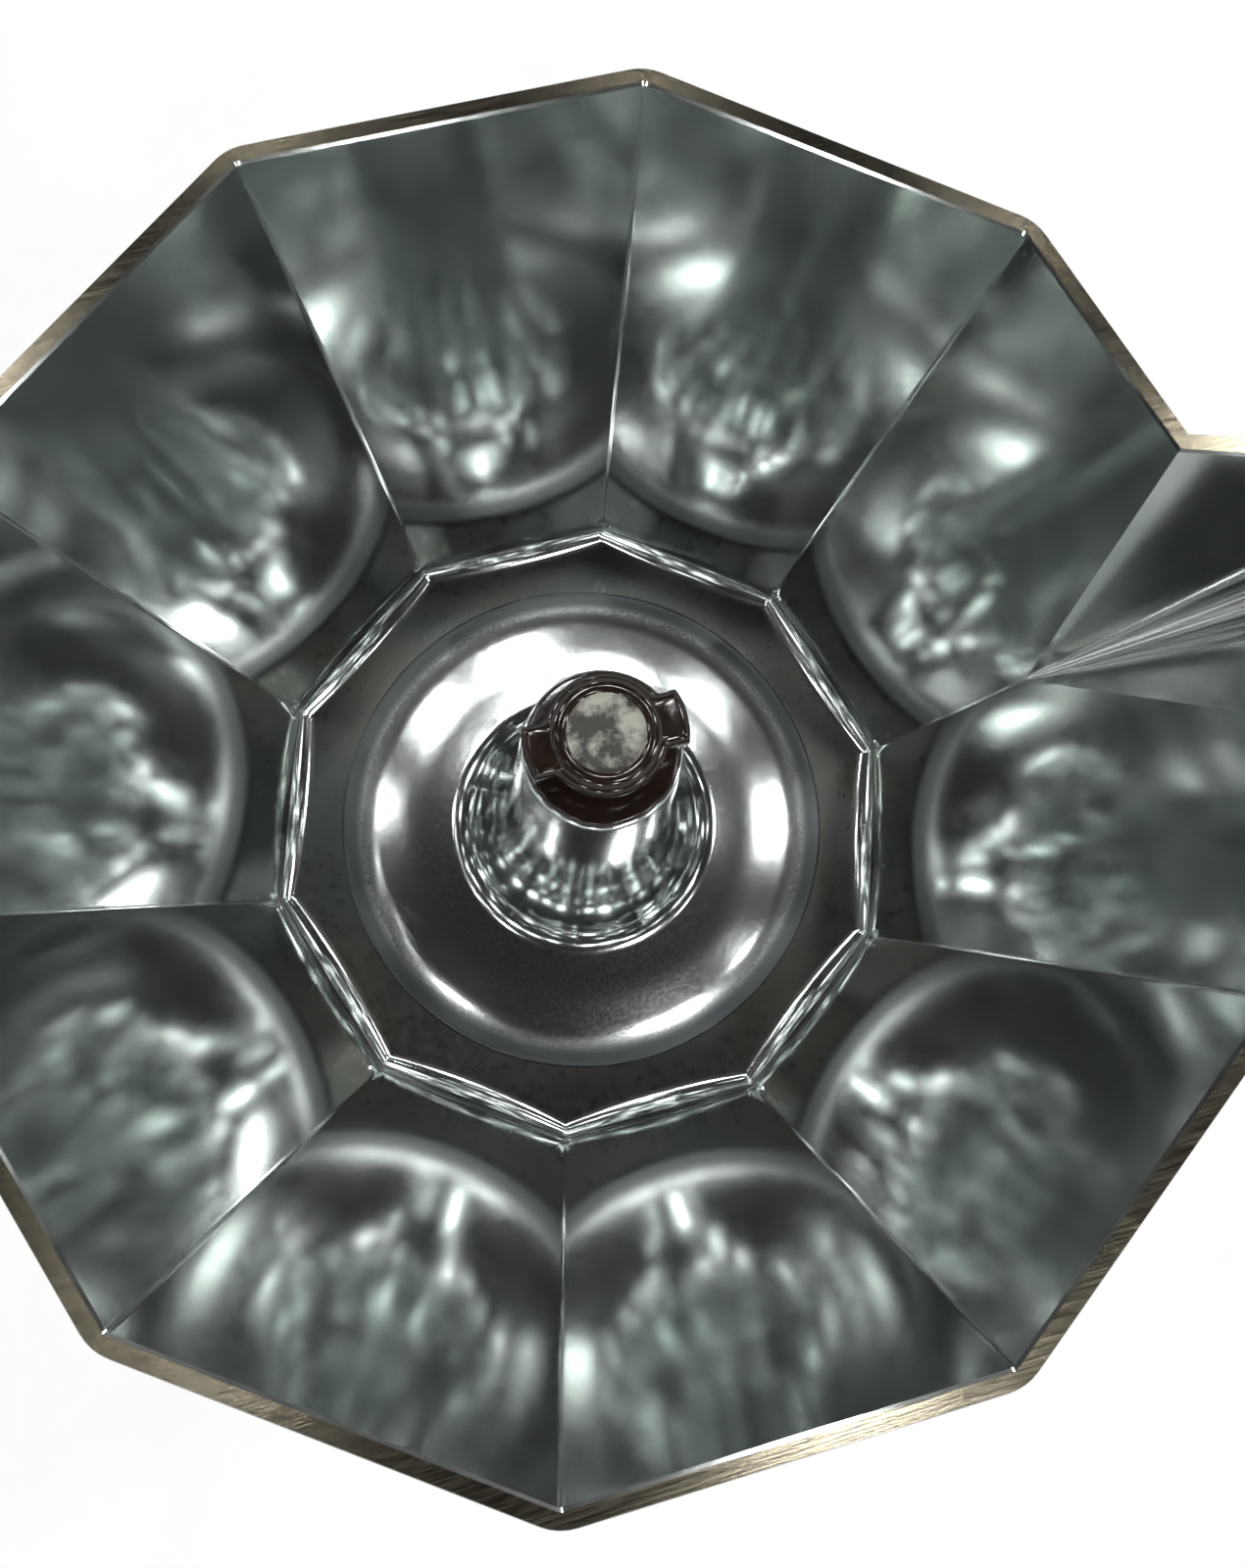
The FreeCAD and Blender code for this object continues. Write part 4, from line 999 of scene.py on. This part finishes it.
def paper_sweep():
    """Matt paper, mid grey to the light, and lifted to white where it is seen or mirrored."""
    material = bpy.data.materials.new("paper_sweep")
    material.use_nodes = True
    tree = material.node_tree
    tree.nodes.clear()
    place = add(tree, "TexCoord").outputs["Object"]
    paper = add(tree, "TexNoise", {"Vector": place, "Scale": per_mm(4), "Detail": 4})
    tone = add(tree, "Mix", {"Factor": paper.outputs["Fac"], "A": colour("#b2b2b0"), "B": colour("#b7b7b5")},
               data_type="RGBA")
    matt = add(tree, "BsdfDiffuse", {"Color": tone.outputs["Result"]})
    rays = add(tree, "LightPath")
    seen = add(tree, "Math", {0: rays.outputs["Is Camera Ray"], 1: rays.outputs["Is Glossy Ray"]},
               operation="ADD")
    seen = add(tree, "Math", {0: seen.outputs["Value"], 1: rays.outputs["Is Transmission Ray"]},
               operation="ADD", use_clamp=True)
    lift = add(tree, "Math", {0: seen.outputs["Value"], 1: floor_lift}, operation="MULTIPLY")
    glow = add(tree, "Emission", {"Strength": lift.outputs["Value"]})
    both = add(tree, "AddShader", {0: matt.outputs["BSDF"], 1: glow.outputs["Emission"]})
    add(tree, "OutputMaterial", {"Surface": both.outputs["Shader"]})
    return material


def make_studio():
    """Pale floor that curves up into a low round backdrop, open above."""
    sweep = [(radius, -floor_drop) for radius in (0.0001, 0.3, 0.8, floor_reach)]
    sweep += [(floor_reach + cove_reach * math.sin(turn),
               cove_reach - floor_drop - cove_reach * math.cos(turn))
              for turn in (math.pi / 2 * k / 10 for k in range(1, 11))]
    sweep += [(floor_reach + cove_reach, 1.0), (floor_reach + cove_reach, backdrop_top)]
    bm = spun(sweep, segments=64)
    bmesh.ops.recalc_face_normals(bm, faces=bm.faces)
    mesh = bpy.data.meshes.new("floor")
    bm.to_mesh(mesh)
    bm.free()
    mesh.shade_smooth()
    mesh.materials.append(paper_sweep())
    placed("floor", mesh)


def add_panel(name, place, side):
    """Square soft panel, aimed at the pot."""
    data = bpy.data.lights.new(name, "AREA")
    data.shape = "SQUARE"
    data.size = side
    data.energy = panel_glow * side * side
    panel = placed(name, data)
    panel.location = place
    panel.rotation_euler = (Vector(panel_aim) - Vector(place)).to_track_quat("-Z", "Y").to_euler()


def make_lights():
    """Rings of soft panels around and above the pot, and a faint even room light."""
    for i, (azimuth, tilt, width) in enumerate(panels):
        turn, lean = math.radians(azimuth), math.radians(tilt)
        out = panel_away * math.sin(lean)
        add_panel(f"panel_{i}", (out * math.cos(turn), out * math.sin(turn),
                                 panel_middle + panel_away * math.cos(lean)), width * panel_scale)
    world = bpy.data.worlds.new("room")
    world.use_nodes = True
    tree = world.node_tree
    tree.nodes.clear()
    room = add(tree, "Background", {"Color": colour("#ffffff"), "Strength": room_glow})
    add(tree, "OutputWorld", {"Surface": room.outputs["Background"]})
    bpy.context.scene.world = world
    bpy.context.scene.view_settings.view_transform = "Standard"


# ------------------------ assembly

make_collector()
make_dome()
make_lugs()
make_cap()
make_boiler()
make_lid()
make_knob()
make_handle()

# Pieces whose solids are shown as they are, each with its own finish.
for node, material in (("valve_body", brass), ("valve_plunger", steel), ("valve_spring", steel),
                       ("valve_retainer", brass), ("valve_washer", fibre), ("valve_seal", silicone),
                       ("funnel", spun_metal), ("funnel_plate", spun_metal), ("gasket", silicone),
                       ("filter_plate", spun_metal), ("hinge_pin", steel), ("handle_pin", steel),
                       ("knob_insert", brass), ("knob_washer", steel), ("knob_screw", steel)):
    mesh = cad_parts[node].data
    mesh.materials.clear()
    mesh.materials.append(material)

set_camera()
make_studio()
make_lights()
